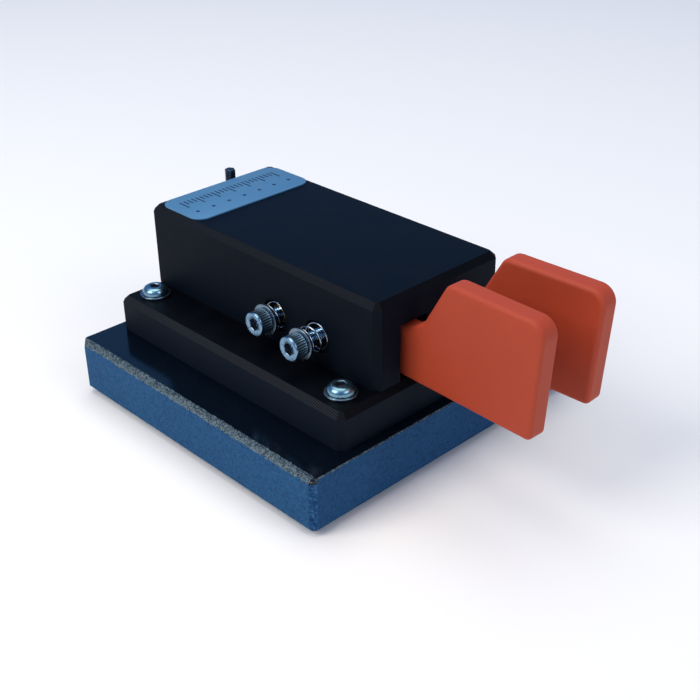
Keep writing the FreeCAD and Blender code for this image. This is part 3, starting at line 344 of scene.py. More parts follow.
def cap_screw_shape(length):
    """An adjuster: an M4 socket cap screw with a finely knurled head."""
    rim = 0.4
    ridges = 30
    count = 4 * ridges

    def knurled(strength):
        def reach(bearing):
            groove = 0.5 - 0.5 * math.cos(bearing * ridges)
            return CAP_HEAD - RIDGE_DEPTH * strength * groove
        return reach

    rows = shank_rows(length) + [ring(3.05, 0.0, THREAD_COUNT)]
    rows += turned([(3.1, 0.02), (3.32, 0.1), (knurled(0.0), 0.25)], count)
    knurl = [rows[-1]]
    knurl += turned([(knurled(1.0), 0.45), (knurled(1.0), 3.1), (knurled(0.0), 3.3)], count)
    face = [knurl[-1]]
    face += turned(rounded_corner(CAP_HEAD - rim, CAP_HEIGHT - rim, rim, 0, 90, steps=5), count)
    socket = socket_rows(flats=3.0, top=CAP_HEIGHT, depth=2.0, count=count // 2)
    shape = Shape()
    shape.add_skin(rows)
    shape.add_skin(knurl, finish=KNURL)
    shape.add_skin(face + socket[:2])
    shape.add_skin(socket[1:], finish=SOCKET)
    return shape


def washer_shape(thick):
    """A stamped M4 washer with softened edges, its underside at 0."""
    soft = 0.14
    ease = 0.08
    profile = rounded_corner(WASHER - soft, soft, soft, -90, 0, 3)
    profile += rounded_corner(WASHER - soft, thick - soft, soft, 0, 90, 3)
    profile += [
        (WASHER_BORE + ease, thick),
        (WASHER_BORE, thick - ease),
        (WASHER_BORE, ease),
        (WASHER_BORE + ease, 0.0),
    ]
    return one_skin(turned(profile, 72), closed=True)


def insert_shape(outside, bore, length):
    """A brass insert: two bands of slanted knurl either side of a groove, its lower end at 0."""
    count = 96
    teeth = 24
    groove = 0.5
    half = (length - groove) / 2
    slant = 0.55
    lead = 0.3
    steps = 7

    def knurled_band(low, direction):
        """Rows of one band, from a low height up."""
        rows = []
        for step in range(steps + 1):
            height = low + (half - lead) * step / steps

            def reach(bearing):
                phase = (bearing * teeth / FULL_TURN + direction * slant * height) % 1.0
                return outside - 0.28 * abs(2 * phase - 1)

            rows.append(ring(reach, height, count))
        return rows

    rows = turned([(outside - 0.5, 0.0), (outside - 0.32, 0.15)], count)
    rows += knurled_band(lead, 1)
    rows += turned([(outside - 0.4, half + 0.05), (outside - 0.4, half + groove - 0.05)], count)
    rows += knurled_band(half + groove, -1)
    rows += turned([
        (outside - 0.32, length - 0.15),
        (outside - 0.5, length),
        (bore + 0.25, length),
        (bore, length - 0.25),
        (bore, 0.25),
        (bore + 0.25, 0.0),
    ], count)
    return one_skin(rows, closed=True)


def bearing_shape(outside, bore, width):
    """A shielded ball bearing: outer race, recessed shields and inner race, centred on 0."""
    half = width / 2
    outer_edge = outside - 0.75
    inner_edge = bore + 0.75
    recess = 0.22
    face = [
        (outside, half - 0.12),
        (outside - 0.12, half),
        (outer_edge, half),
        (outer_edge - 0.05, half - recess),
        (inner_edge + 0.08, half - recess),
        (inner_edge, half - 0.05),
        (bore + 0.12, half - 0.05),
        (bore, half - 0.17),
    ]
    profile = face + [(out, -up) for out, up in reversed(face)]
    return one_skin(turned(profile, 64), closed=True)


def nut_shape(flats, bore, thick):
    """A thin hexagon nut, both faces chamfered, its underside at 0."""
    corner = flats / math.sqrt(3)
    rise = 0.35
    ease = 0.3

    def outline(drop):
        def reach(bearing):
            return min(hexagon(flats, bearing), corner - drop * 1.7)
        return reach

    levels = [(0.0, rise), (rise / 2, rise / 2), (rise, 0.0)]
    profile = [(outline(drop), height) for height, drop in levels]
    profile += [(outline(drop), thick - height) for height, drop in reversed(levels)]
    profile += [(bore + ease, thick), (bore, thick - ease), (bore, ease), (bore + ease, 0.0)]
    return one_skin(turned(profile, 96), closed=True)


def spring_shape(mean, wire, low, high, coils):
    """A compression spring along Z with one closed turn at each end, as a single tube."""
    around = 10
    per_turn = 40
    closed_rise = wire * 1.08
    total = coils + 2
    steps = round(total * per_turn)
    usable = high - low - wire
    active = usable - 2 * closed_rise

    def height(turns):
        if turns <= 1:
            return closed_rise * turns
        if turns >= total - 1:
            return usable - closed_rise * (total - turns)
        return closed_rise + active * (turns - 1) / coils

    shape = Shape()
    numbered = []
    for step in range(steps + 1):
        turns = total * step / steps
        before = max(0, turns - 0.01)
        after = min(total, turns + 0.01)
        rise = (height(after) - height(before)) / (FULL_TURN * (after - before))
        bearing = FULL_TURN * turns
        out = Vector((math.cos(bearing), math.sin(bearing), 0))
        centre = out * mean + Vector((0, 0, low + wire / 2 + height(turns)))
        along = Vector((-math.sin(bearing) * mean, math.cos(bearing) * mean, rise)).normalized()
        side = along.cross(out).normalized()
        angles = [FULL_TURN * number / around for number in range(around)]
        numbered.append(shape.add_row(
            centre + (out * math.cos(angle) + side * math.sin(angle)) * wire / 2 for angle in angles
        ))
    for first, second in zip(numbered, numbered[1:]):
        shape.join_rows(second, first)
    shape.add_face(numbered[0])
    shape.add_face(numbered[-1][::-1])
    return shape


# ---- material building

class Painter:
    """A short way to build one procedural material's nodes."""

    def __init__(self, name):
        self.material = bpy.data.materials.new(name)
        self.material.use_nodes = True
        self.tree = self.material.node_tree
        self.place = self.node("ShaderNodeTexCoord", {}, "Object")
        self.facing = self.node("ShaderNodeTexCoord", {}, "Normal")
        self.last_normal = None

    def link(self, source, target):
        """Link an output to an input, or set the input if the source is a plain value."""
        if isinstance(source, bpy.types.NodeSocket):
            self.tree.links.new(source, target)
        else:
            target.default_value = source

    def node(self, kind, inputs, output=0, **settings):
        """Add a node, feed its inputs and hand back one of its outputs."""
        node = self.tree.nodes.new(kind)
        for key, value in settings.items():
            setattr(node, key, value)
        for key, source in inputs.items():
            self.link(source, node.inputs[key])
        return node.outputs[output]

    def math(self, operation, first, second=0.0, clamp=False):
        inputs = {0: first, 1: second}
        return self.node("ShaderNodeMath", inputs, operation=operation, use_clamp=clamp)

    def times(self, first, second):
        return self.math("MULTIPLY", first, second)

    def total(self, *terms):
        """The sum of outputs, each given with its weight."""
        whole, *others = [self.times(source, weight) for source, weight in terms]
        for part in others:
            whole = self.math("ADD", whole, part)
        return whole

    def parts(self, vector):
        """The X, Y and Z outputs of a vector."""
        return self.node("ShaderNodeSeparateXYZ", {0: vector}).node.outputs

    def from_axis(self):
        """Distance from the piece's own Z axis."""
        x, y, _ = self.parts(self.place)
        return self.math("SQRT", self.math("ADD", self.times(x, x), self.times(y, y)))

    def scaled(self, scale):
        """The piece's own coordinates multiplied by a scale along each axis."""
        return self.node("ShaderNodeVectorMath", {0: self.place, 1: scale}, operation="MULTIPLY")

    def noise(self, scale, detail=3.0, roughness=0.55, vector=None):
        """Smooth noise; scale is in features per metre."""
        vector = self.place if vector is None else vector
        inputs = {"Scale": scale, "Detail": detail, "Roughness": roughness, "Vector": vector}
        return self.node("ShaderNodeTexNoise", inputs, "Fac")

    def cell_shades(self, scale):
        """A random shade for each cell of a scattered pattern."""
        inputs = {"Scale": scale, "Vector": self.place}
        return self.parts(self.node("ShaderNodeTexVoronoi", inputs, "Color"))[0]

    def stretch(self, value, low, high, new_low=0.0, new_high=1.0):
        """Map a range of values to a new one, and hold them inside it."""
        inputs = {0: value, 1: low, 2: high, 3: new_low, 4: new_high}
        return self.node("ShaderNodeMapRange", inputs, "Result")

    def mix(self, share, first, second):
        """Blend two colours, given as linear RGB or as outputs."""
        first, second = ((*c, 1.0) if isinstance(c, tuple) else c for c in (first, second))
        inputs = {0: share, 6: first, 7: second}
        return self.node("ShaderNodeMix", inputs, 2, data_type="RGBA")

    def shade(self, value, low, high, first, second, strength=1.0):
        """Pass from one colour to another, wholly or in part, as a value crosses a range."""
        return self.mix(self.stretch(value, low, high, 0.0, strength), first, second)

    def wave(self, value, pitch):
        """A smooth ripple between 0 and 1 whose period is the pitch, in millimetres."""
        ripple = self.math("SINE", self.times(value, FULL_TURN / (pitch * MM)))
        return self.math("ADD", self.times(ripple, 0.5), 0.5)

    def soft_edges(self, radius):
        """Round every sharp edge's shading by a radius in millimetres."""
        self.last_normal = self.node("ShaderNodeBevel", {"Radius": radius * MM}, samples=6)
        return self.last_normal

    def edge_wear_and_highlight(self, rounded):
        """1 where the rounded shading leaves the flat face's, and 0 on open faces."""
        flat = self.node("ShaderNodeNewGeometry", {}, "Normal")
        inputs = {0: rounded, 1: flat}
        match = self.node("ShaderNodeVectorMath", inputs, "Value", operation="DOT_PRODUCT")
        return self.stretch(match, 1.0, 0.86)

    def bump(self, height, depth):
        """Raise the surface by a height field whose full depth is in millimetres."""
        inputs = {"Strength": 1.0, "Distance": depth * MM, "Height": height}
        if self.last_normal is not None:
            inputs["Normal"] = self.last_normal
        self.last_normal = self.node("ShaderNodeBump", inputs)

    def finish(self, colour, roughness, metallic=0.0, specular=0.5):
        """Set the shader's own sockets and hand back the material."""
        shader = self.tree.nodes["Principled BSDF"].inputs
        self.link(colour, shader["Base Color"])
        self.link(roughness, shader["Roughness"])
        shader["Metallic"].default_value = metallic
        shader["Specular IOR Level"].default_value = specular
        if self.last_normal is not None:
            self.link(self.last_normal, shader["Normal"])
        return self.material


# ---- materials

PRINT_LAYER = 0.2


def speckled_stone(name, base, light, dark, contrast, grain, depth):
    """Fine-grained dark stone: small mineral grains of slightly different shade."""
    paint = Painter(name)
    fine = paint.cell_shades(grain)
    medium = paint.cell_shades(grain * 0.7)
    powder = paint.noise(grain * 0.8, 4.0, 0.7)
    colour = paint.shade(fine, 0.55, 1.0, base, light, contrast)
    colour = paint.shade(medium, 0.30, 0.0, colour, dark, contrast)
    colour = paint.shade(powder, 0.58, 0.75, colour, light, contrast * 0.6)
    cloud = paint.noise(45, 2.0)
    colour = paint.shade(cloud, 0.35, 0.7, colour, dark, 0.14)
    # painted shade: the front and rear faces are darkened against the two long sides, for the
    # weaker light that falls on them
    front_rear_painted_shade = paint.stretch(paint.math("ABSOLUTE", paint.parts(paint.facing)[1]), 0.5, 0.9)
    colour = paint.mix(paint.times(front_rear_painted_shade, 0.30), colour, dark)
    paint.bump(paint.total((powder, 1.0), (fine, 0.4)), depth)
    shine = paint.stretch(fine, 0.0, 1.0, 0.60, 0.78)
    return paint.finish(colour, shine, specular=0.14)


def polished_stone():
    """The mirror-polished top: near black, with faint grains and finger smears."""
    paint = Painter("polished_stone")
    fine = paint.cell_shades(2600)
    flecks = paint.stretch(fine, 0.86, 1.0)
    colour = paint.mix(flecks, (0.0008, 0.0030, 0.0070), (0.0030, 0.0080, 0.0160))
    cloud = paint.noise(90, 3.0)
    colour = paint.shade(cloud, 0.4, 0.7, colour, (0.0004, 0.0018, 0.0050), 0.4)
    smear = paint.stretch(paint.noise(45, 4.0), 0.35, 0.75, 0.13, 0.20)
    paint.bump(paint.noise(220, 2.0), 0.002)
    return paint.finish(colour, smear, specular=0.40)


def chipped_stone(top, size):
    """The bevelled rim below the top: crushed grains, palest at its lower edge."""
    paint = Painter("chipped_stone")
    fine = paint.cell_shades(3400)
    powder = paint.noise(2600, 4.0, 0.75)
    patches = paint.noise(600, 3.0)
    pale = paint.total((fine, 0.45), (powder, 0.75), (patches, 0.35))
    height = paint.parts(paint.place)[2]
    fade = paint.stretch(height, (top - size) * MM, top * MM, 0.06, -0.10)
    share = paint.stretch(paint.math("ADD", pale, fade), 0.58, 1.10)
    colour = paint.mix(share, (0.006, 0.020, 0.036), (0.165, 0.215, 0.225))
    paint.bump(pale, 0.07)
    return paint.finish(colour, 0.72, specular=0.2)


def printed_plastic(name, top, side, stroke, top_gloss, hatch):
    """Black printed plastic: smooth tops, layered sides, and finely hatched chamfers; tops and
    chamfers are darkened as painted shade.
    """
    paint = Painter(name)
    rounded = paint.soft_edges(0.12)
    _, y, z = paint.parts(paint.place)
    facing_x, _, facing_z = paint.parts(paint.facing)
    flat_up = paint.stretch(facing_z, 0.9, 0.97)
    upright = paint.stretch(paint.math("ABSOLUTE", facing_z), 0.25, 0.15)
    slope = paint.math("SUBTRACT", 1.0, paint.math("ADD", flat_up, upright), clamp=True)
    slope = paint.times(slope, paint.stretch(facing_z, 0.3, 0.5))

    # strokes run across the chamfers of the two long sides, a little slanted
    sideways = paint.stretch(paint.math("ABSOLUTE", facing_x), 0.45, 0.6)
    along = paint.total((y, 1.0), (z, 0.6))
    strokes = paint.stretch(paint.wave(along, hatch), 0.5, 0.9)
    strokes = paint.times(strokes, paint.times(slope, sideways))
    grain = paint.noise(2500, 3.0, 0.7)
    strokes = paint.times(strokes, paint.stretch(grain, 0.3, 0.65, 0.6, 1.0))

    layers = paint.times(paint.wave(z, PRINT_LAYER), upright)
    cloud = paint.noise(140, 3.0)
    # painted shade: the chamfers take a darker copy of the side colour, and the tops a darker
    # colour of their own
    painted_chamfer_shade = paint.mix(slope, side, tuple(0.2 * shade for shade in side))
    base = paint.mix(flat_up, painted_chamfer_shade, top)
    base = paint.shade(cloud, 0.4, 0.75, base, stroke, 0.04)
    colour = paint.mix(strokes, base, stroke)
    worn = paint.stretch(cloud, 0.3, 0.7, 0.05, 0.25)
    worn = paint.times(paint.edge_wear_and_highlight(rounded), worn)
    colour = paint.mix(worn, colour, stroke)

    paint.bump(paint.total((strokes, 0.8), (layers, 0.35), (grain, 0.35)), 0.03)
    plain = paint.stretch(flat_up, 0.0, 1.0, 0.62, top_gloss)
    gloss = paint.math("ADD", plain, paint.stretch(cloud, 0.3, 0.7, -0.02, 0.03))
    return paint.finish(colour, gloss, specular=0.07)


def orange_plastic():
    """Satin red-orange printed plastic with very fine layers, and paler edges that are a painted
    highlight.
    """
    paint = Painter("orange_print")
    rounded = paint.soft_edges(0.35)
    cloud = paint.noise(55, 2.0)
    fine = paint.noise(1600, 3.0, 0.6)
    colour = paint.shade(cloud, 0.3, 0.7, (0.406, 0.049, 0.017), (0.430, 0.053, 0.019))
    # painted highlight: the rounded edges are tinted paler
    edges = paint.times(paint.edge_wear_and_highlight(rounded), 0.3)
    colour = paint.mix(edges, colour, (0.45, 0.070, 0.024))
    layers = paint.wave(paint.parts(paint.place)[2], PRINT_LAYER)
    paint.bump(paint.total((layers, 0.25), (fine, 0.6)), 0.012)
    return paint.finish(colour, paint.stretch(fine, 0.3, 0.7, 0.50, 0.58), specular=0.26)


def turned_metal(name, bright, dark, roughness, pitch=0.09, depth=0.004, across=False):
    """Metal with machining rings round its own axis, or lines across it, and faint stains."""
    paint = Painter(name)
    out = paint.parts(paint.place)[0] if across else paint.from_axis()
    rings = paint.wave(out, pitch)
    cloud = paint.noise(300, 4.0, 0.6)
    scratch = paint.noise(1.0, 2.0, 0.6, vector=paint.scaled((9000.0, 700.0, 900.0)))
    colour = paint.shade(cloud, 0.35, 0.75, bright, dark)
    paint.bump(paint.total((rings, 0.5), (scratch, 0.6)), depth)
    stains = paint.stretch(cloud, 0.3, 0.7, roughness * 0.75, roughness * 1.3)
    gloss = paint.math("ADD", stains, paint.stretch(scratch, 0.4, 0.7, 0.0, 0.05))
    return paint.finish(colour, gloss, metallic=1.0)


def knurled_metal(crest, depth):
    """The gripped side of a cap screw's head: bright ridges, with painted shade in their grooves.
    """
    paint = Painter("knurled_steel")
    ridge_vs_groove_shade = paint.stretch(paint.from_axis(), (crest - 0.8 * depth) * MM, crest * MM)
    cloud = paint.noise(700, 4.0, 0.6)
    bright = paint.shade(cloud, 0.35, 0.7, (0.240, 0.380, 0.480), (0.130, 0.230, 0.310))
    # painted shade: the grooves between the ridges are near black
    colour = paint.mix(ridge_vs_groove_shade, (0.020, 0.038, 0.055), bright)
    paint.bump(cloud, 0.01)
    return paint.finish(colour, paint.stretch(cloud, 0.3, 0.7, 0.34, 0.48), metallic=1.0)


def brushed_label():
    """Silver sheet brushed from side to side; its blue tint is a painted reflection of the blue
    sky.
    """
    paint = Painter("silver_sheet")
    brush = paint.noise(1.0, 3.0, 0.6, vector=paint.scaled((60.0, 5200.0, 60.0)))
    cloud = paint.noise(70, 3.0)
    # painted reflection: the silver is tinted blue for the sky it reflects
    colour = paint.shade(brush, 0.3, 0.7, (0.070, 0.205, 0.350), (0.086, 0.238, 0.395))
    colour = paint.shade(cloud, 0.35, 0.75, colour, (0.062, 0.185, 0.320), 0.3)
    paint.bump(brush, 0.003)
    gloss = paint.stretch(brush, 0.3, 0.7, 0.42, 0.55)
    return paint.finish(colour, gloss, metallic=0.35, specular=0.5)


def grainy(name, grain, first, second, depth, gloss, specular,
           relief=None, spread=(0.0, 1.0), edges=0.0):
    """A plain material: one noise drives its colour and gloss, and its relief unless given."""
    paint = Painter(name)
    if edges:
        paint.soft_edges(edges)
    cloud = paint.noise(*grain)
    colour = paint.mix(paint.stretch(cloud, *spread), first, second)
    paint.bump(paint.noise(*relief) if relief else cloud, depth)
    return paint.finish(colour, paint.stretch(cloud, 0.3, 0.7, *gloss), specular=specular)


def black_oxide():
    """Blackened steel: satin, with bare metal along its worn edges."""
    paint = Painter("blackened_steel")
    rounded = paint.soft_edges(0.1)
    cloud = paint.noise(500, 4.0, 0.6)
    colour = paint.shade(cloud, 0.3, 0.7, (0.010, 0.024, 0.046), (0.020, 0.040, 0.068))
    worn = paint.stretch(cloud, 0.4, 0.65, 0.0, 0.6)
    worn = paint.times(paint.edge_wear_and_highlight(rounded), worn)
    colour = paint.mix(worn, colour, (0.08, 0.11, 0.15))
    paint.bump(paint.noise(2500, 3.0), 0.006)
    gloss = paint.stretch(cloud, 0.3, 0.7, 0.3, 0.45)
    return paint.finish(colour, gloss, metallic=0.6, specular=0.4)


def plain_floor():
    """A matt pale floor."""
    paint = Painter("pale_floor")
    cloud = paint.noise(1.2, 2.0)
    colour = paint.mix(cloud, (0.90, 0.86, 0.80), (0.92, 0.88, 0.82))
    return paint.finish(colour, 0.9, specular=0.1)


# painted light: the blue cast of the stone, print and steel colours below stands for blue sky light
# on the object, not their own colour
MATERIALS = {
    "polished": polished_stone(),
    "sawn": speckled_stone(
        "sawn_stone", (0.0098, 0.069, 0.166), (0.0300, 0.130, 0.250), (0.0030, 0.030, 0.090),
        contrast=0.62, grain=2100, depth=0.03),
    "corner": speckled_stone(
        "corner_stone", (0.0070, 0.056, 0.150), (0.0450, 0.155, 0.300), (0.0025, 0.022, 0.072),
        contrast=0.9, grain=1700, depth=0.06),
    "chipped": chipped_stone(SLAB_TOP, SIDE_BEVEL),
    "plate": printed_plastic(
        "plate_print", (0.0006, 0.0012, 0.0026), (0.0050, 0.0086, 0.0150), (0.029, 0.032, 0.039),
        top_gloss=0.42, hatch=0.72),
    "cover": printed_plastic(
        "cover_print", (0.0003, 0.0010, 0.0030), (0.0020, 0.0042, 0.0088), (0.019, 0.023, 0.031),
        top_gloss=0.34, hatch=0.68),
    "orange": orange_plastic(),
    "stainless": turned_metal(
        "stainless", (0.19, 0.32, 0.45), (0.12, 0.22, 0.33), 0.22, depth=0.002),
    "knurl": knurled_metal(CAP_HEAD, RIDGE_DEPTH),
    "button": turned_metal("button_steel", (0.21, 0.37, 0.44), (0.15, 0.28, 0.35), 0.24),
    # painted shade and reflection: a darker copy of the steel for the inside of the sockets, with
    # brownish patches for a reflection
    "socket": turned_metal("socket_steel_shaded", (0.130, 0.190, 0.270), (0.160, 0.140, 0.140), 0.3),
    "washer": turned_metal("washer_steel", (0.20, 0.27, 0.33), (0.14, 0.19, 0.24), 0.24),
    "spring": turned_metal(
        "spring_wire", (0.36, 0.43, 0.50), (0.25, 0.31, 0.38), 0.22, pitch=0.3, across=True),
    "brass": turned_metal("brass", (0.46, 0.32, 0.15), (0.33, 0.22, 0.10), 0.32),
    "nickel": turned_metal("nickel_plate", (0.66, 0.64, 0.60), (0.54, 0.52, 0.48), 0.2),
    "bearing": turned_metal("bearing_steel", (0.64, 0.66, 0.70), (0.50, 0.52, 0.55), 0.16),
    "label": brushed_label(),
    "ink": grainy(
        "dark_ink", (900, 3.0), (0.004, 0.020, 0.055), (0.007, 0.030, 0.075),
        depth=0.004, gloss=(0.45, 0.6), specular=0.4),
    "rubber": grainy(
        "soft_rubber", (700, 4.0, 0.65), (0.012, 0.013, 0.015), (0.06, 0.06, 0.062),
        depth=0.03, gloss=(0.7, 0.88), specular=0.3, spread=(0.45, 0.8)),
    "moulded": grainy(
        "moulded_black", (1900, 3.0, 0.6), (0.010, 0.011, 0.013), (0.020, 0.021, 0.024),
        depth=0.01, gloss=(0.36, 0.5), specular=0.45, edges=0.15),
    "oxide": black_oxide(),
    "jacket": grainy(
        "wire_jacket", (600, 3.0), (0.016, 0.017, 0.020), (0.034, 0.035, 0.040),
        depth=0.006, gloss=(0.35, 0.48), specular=0.45, relief=(1800, 2.0)),
    "floor": plain_floor(),
}


# ---- the stone slab

# the slab's finishes, in the order of its material slots
SAWN, CHIPPED, POLISHED, CORNER = range(4)

BEVEL_ROWS = 7
ARRIS_ROWS = 2


def uneven(x, y, size, seed):
    """A repeatable uneven offset, about -1 to 1, at a place on the slab's outline."""
    spot = Vector((x / size, y / size, seed))
    return noise.noise(spot) + 0.5 * noise.noise(spot * 2.7)


def bevel_point(size, share, top):
    """Inset and height on a bevel: 0 is its lower edge, 1 its upper, beyond them lie the faces."""
    if share < 0:
        return 0.0, top - size + size * share
    if share > 1:
        return size * share, top
    return size * share, top - size + size * share


def slab_outline(half, corner, step):
    """Places round the slab: x, y, the share of the front or rear side, and whether at a corner."""
    near = half - corner
    along = round(2 * near / step)
    rounds = 6
    places = []
    for quarter in range(4):
        facing_front = (quarter + 1) % 2
        side = [(2 * near * (n / along) - near, -half, facing_front, False) for n in range(along)]
        for share in (n / rounds for n in range(rounds)):
            leaving = facing_front + (1 - 2 * facing_front) * share
            across = (half - near) * share
            side.append((near + across, across - half, leaving, True))
        for x, y, *rest in side:
            for _ in range(quarter):
                x, y = -y, x
            places.append((x, y, *rest))
    return places


def bevel_row(x, y, facing_front, number, top):
    """Place of one column's point in one row of the bevel: the side insets and the height."""
    front_arris = 0.3
    share = number / BEVEL_ROWS
    lower = 0.24 * uneven(x, y, 0.9, 3.0)
    upper = max(1.0, 1.10 + 0.20 * uneven(x, y, 0.6, 8.0))
    side = bevel_point(SIDE_BEVEL, lower + (upper - lower) * share, top)
    # the front and rear only have an arris, so the lower rows stay on the flat face
    flat_rows = BEVEL_ROWS - ARRIS_ROWS
    if number < flat_rows:
        front = (0.0, top - SIDE_BEVEL + (SIDE_BEVEL - front_arris - 0.1) * number / flat_rows)
    else:
        wobble = max(0.0, 0.4 * uneven(x, y, 0.8, 5.0))
        front = bevel_point(front_arris, (number - flat_rows) / ARRIS_ROWS * (1 + wobble), top)
    height = side[1] + (front[1] - side[1]) * facing_front
    return side[0], front[0], height


def slab_place(x, y, inset_x, inset_y, height, half, chip):
    """Clamp a place to the slab's insets and push it in by a chip depth."""
    reach_x = half - inset_x
    reach_y = half - inset_y
    held_x = max(-reach_x, min(reach_x, x))
    held_y = max(-reach_y, min(reach_y, y))
    length = math.hypot(held_x, held_y)
    return held_x - chip * held_x / length, held_y - chip * held_y / length, height - chip * 0.6


def slab_rows(half, top):
    """Rows of the slab from its underside up to the edge of its polished top."""
    places = slab_outline(half, corner=1.6, step=0.36)
    under = 0.4
    side_top = top - 2.7
    side_rows = 17
    levels = [(under, 0.0)]
    for number in range(side_rows + 1):
        levels.append((0.0, under + (side_top - under) * number / side_rows))
    rows = []
    for inset, height in levels:
        row = []
        for x, y, _, corner in places:
            chip = 0.0
            if corner and height > under:
                chip = 0.12 + 0.12 * uneven(x * 2, y * 2, 1.0, height)
            row.append(slab_place(x, y, inset, inset, height, half, chip))
        rows.append(row)
    for number in range(BEVEL_ROWS + 1):
        row = []
        for x, y, facing_front, corner in places:
            inset_x, inset_y, height = bevel_row(x, y, facing_front, number, top)
            inner = 0 < number < BEVEL_ROWS
            chip = 0.0
            if inner and (corner or facing_front < 0.5 or number == BEVEL_ROWS - 1):
                chip = 0.09 + 0.11 * uneven(x, y, 0.55, number * 0.9)
            row.append(slab_place(x, y, inset_x, inset_y, height, half, chip))
        rows.append(row)
    return rows, places, len(levels)


def fill_top(shape, outline, hole_places, hole_radius, top, floor):
    """Fill the polished top round its screw holes, and line the holes."""
    count = 48
    mesh = bmesh.new()
    loops = [[shape.points[number] for number in outline]]
    holes = []
    for x, y in hole_places:
        hole = Shape()
        rows = [ring(hole_radius, top, count), ring(hole_radius, floor, count), pole(floor)]
        hole.add_skin([[(a + x, b + y, c) for a, b, c in row] for row in rows])
        holes.append(hole)
        loops.append(hole.points[:count])
    edges = []
    for loop in loops:
        corners = [mesh.verts.new((point[0], point[1], top)) for point in loop]
        for first, second in zip(corners, corners[1:] + corners[:1]):
            edges.append(mesh.edges.new((first, second)))
    bmesh.ops.triangle_fill(mesh, edges=edges, use_beauty=True, normal=(0, 0, 1))
    mesh.verts.index_update()
    first = len(shape.points)
    shape.points.extend(corner.co.copy() for corner in mesh.verts)
    for face in mesh.faces:
        numbers = [first + corner.index for corner in face.verts]
        shape.add_face(numbers if face.normal.z > 0 else numbers[::-1], POLISHED)
    mesh.free()
    for hole in holes:
        shape.add_shape(hole, finish=SAWN)


def slab_finish(level, side_levels, x, y, facing_front, corner):
    """Finish of the slab's face above a level, at a place on its outline."""
    in_bevel = level >= side_levels
    arris = level >= side_levels + BEVEL_ROWS - ARRIS_ROWS
    # painted shade: the bevel faces at the front-left corner take the near-black polished finish,
    # for the shade in a chip there
    if in_bevel and corner and x < 0 and y < 0:
        return POLISHED
    if in_bevel and (facing_front < 0.5 or arris):
        return CHIPPED
    return CORNER if corner else SAWN


def build_slab():
    """The slab: sawn sides, uneven bevels, a polished top and its four insert holes."""
    weld = 0.004 * MM
    high = box_mm("granite_slab")[1]
    shape = Shape()
    rows, places, side_levels = slab_rows(high.x, high.z)
    numbered = [shape.add_row(row) for row in rows]
    for level, (below, above) in enumerate(zip(numbered, numbered[1:])):
        for number, place in enumerate(places):
            following = (number + 1) % len(places)
            face = [below[number], below[following], above[following], above[number]]
            shape.add_face(face, slab_finish(level, side_levels, *place))
    shape.add_face(numbered[0][::-1], SAWN)
    floor = box_mm("slab_inserts")[0].z - 0.2
    holes = corner_places("slab_inserts", SLAB_INSERT)
    fill_top(shape, numbered[-1], holes, SLAB_INSERT + 0.02, high.z, floor)
    slab = make_object("stone_slab", shape, ["sawn", "chipped", "polished", "corner"])
    welded = bmesh.new()
    welded.from_mesh(slab.data)
    bmesh.ops.remove_doubles(welded, verts=welded.verts, dist=weld)
    bmesh.ops.dissolve_degenerate(welded, edges=welded.edges, dist=weld)
    welded.to_mesh(slab.data)
    welded.free()
    slab.data.polygons.foreach_set("use_smooth", [False] * len(slab.data.polygons))
    settle(slab, "base", "black_granite", "granite_slab")


# ---- feet, label and jack

def foot_shape(height):
    """A rubber foot, its top at 0: tapered, with a rounded sole and two shallow rings under it."""
    count = 64
    sole = 5.2
    soft = 0.35
    rings = [(1.4, 0.1), (1.6, 0.0), (2.9, 0.0), (3.1, 0.1), (3.6, 0.1), (3.8, 0.0)]
    profile = [(out, up - height) for out, up in rings]
    profile += rounded_corner(sole - soft, soft - height, soft, -90, 0)
    profile += [(FOOT - 0.03, -0.1), (FOOT - 0.1, 0.0)]
    return one_skin([pole(0.1 - height)] + turned(profile, count) + [pole(0.0)])


def build_feet():
    """Four rubber feet at the slab's corners."""
    low, high = box_mm("rubber_feet")
    feet = copies(foot_shape(high.z - low.z), corner_places("rubber_feet", FOOT), high.z)
    add_piece("soft_feet", feet, ["rubber"], "base", "rubber", "rubber_feet")


def rounded_outline(half_x, half_y, radius, height, inset=0.0):
    """A closed row round a rectangle with rounded corners."""
    steps = 10
    reach = radius - inset
    row = []
    for sign_x, sign_y, begin in ((1, 1, 0), (-1, 1, 90), (-1, -1, 180), (1, -1, 270)):
        x = sign_x * (half_x - radius)
        y = sign_y * (half_y - radius)
        for step in range(steps + 1):
            bearing = math.radians(begin + 90 * step / steps)
            row.append((x + reach * math.cos(bearing), y + reach * math.sin(bearing), height))
    return row


def thin_bar(half_x, half_y, radius, thick):
    """A flat printed bar with rounded ends."""
    return prism([rounded_outline(half_x, half_y, radius, height) for height in (0.0, thick)])


def build_label():
    """The label plate, with softened upper edges, and the scale printed on it."""
    low, high = box_mm("label_plate")
    middle = (low + high) / 2
    half = (high - low) / 2
    thick = high.z - low.z
    round_corner = 4.0
    soft = 0.1
    levels = [(0.0, 0.0), (thick - soft, 0.0), (thick - soft * 0.3, soft * 0.3), (thick, soft)]
    plate = prism([
        rounded_outline(half.x, half.y, round_corner, height, inset) for height, inset in levels
    ])
    place = (middle.x, middle.y, low.z)
    add_piece("label_sheet", plate, ["label"], "base", "silver_label", "label_plate", place)
    build_scale(middle, high.z)


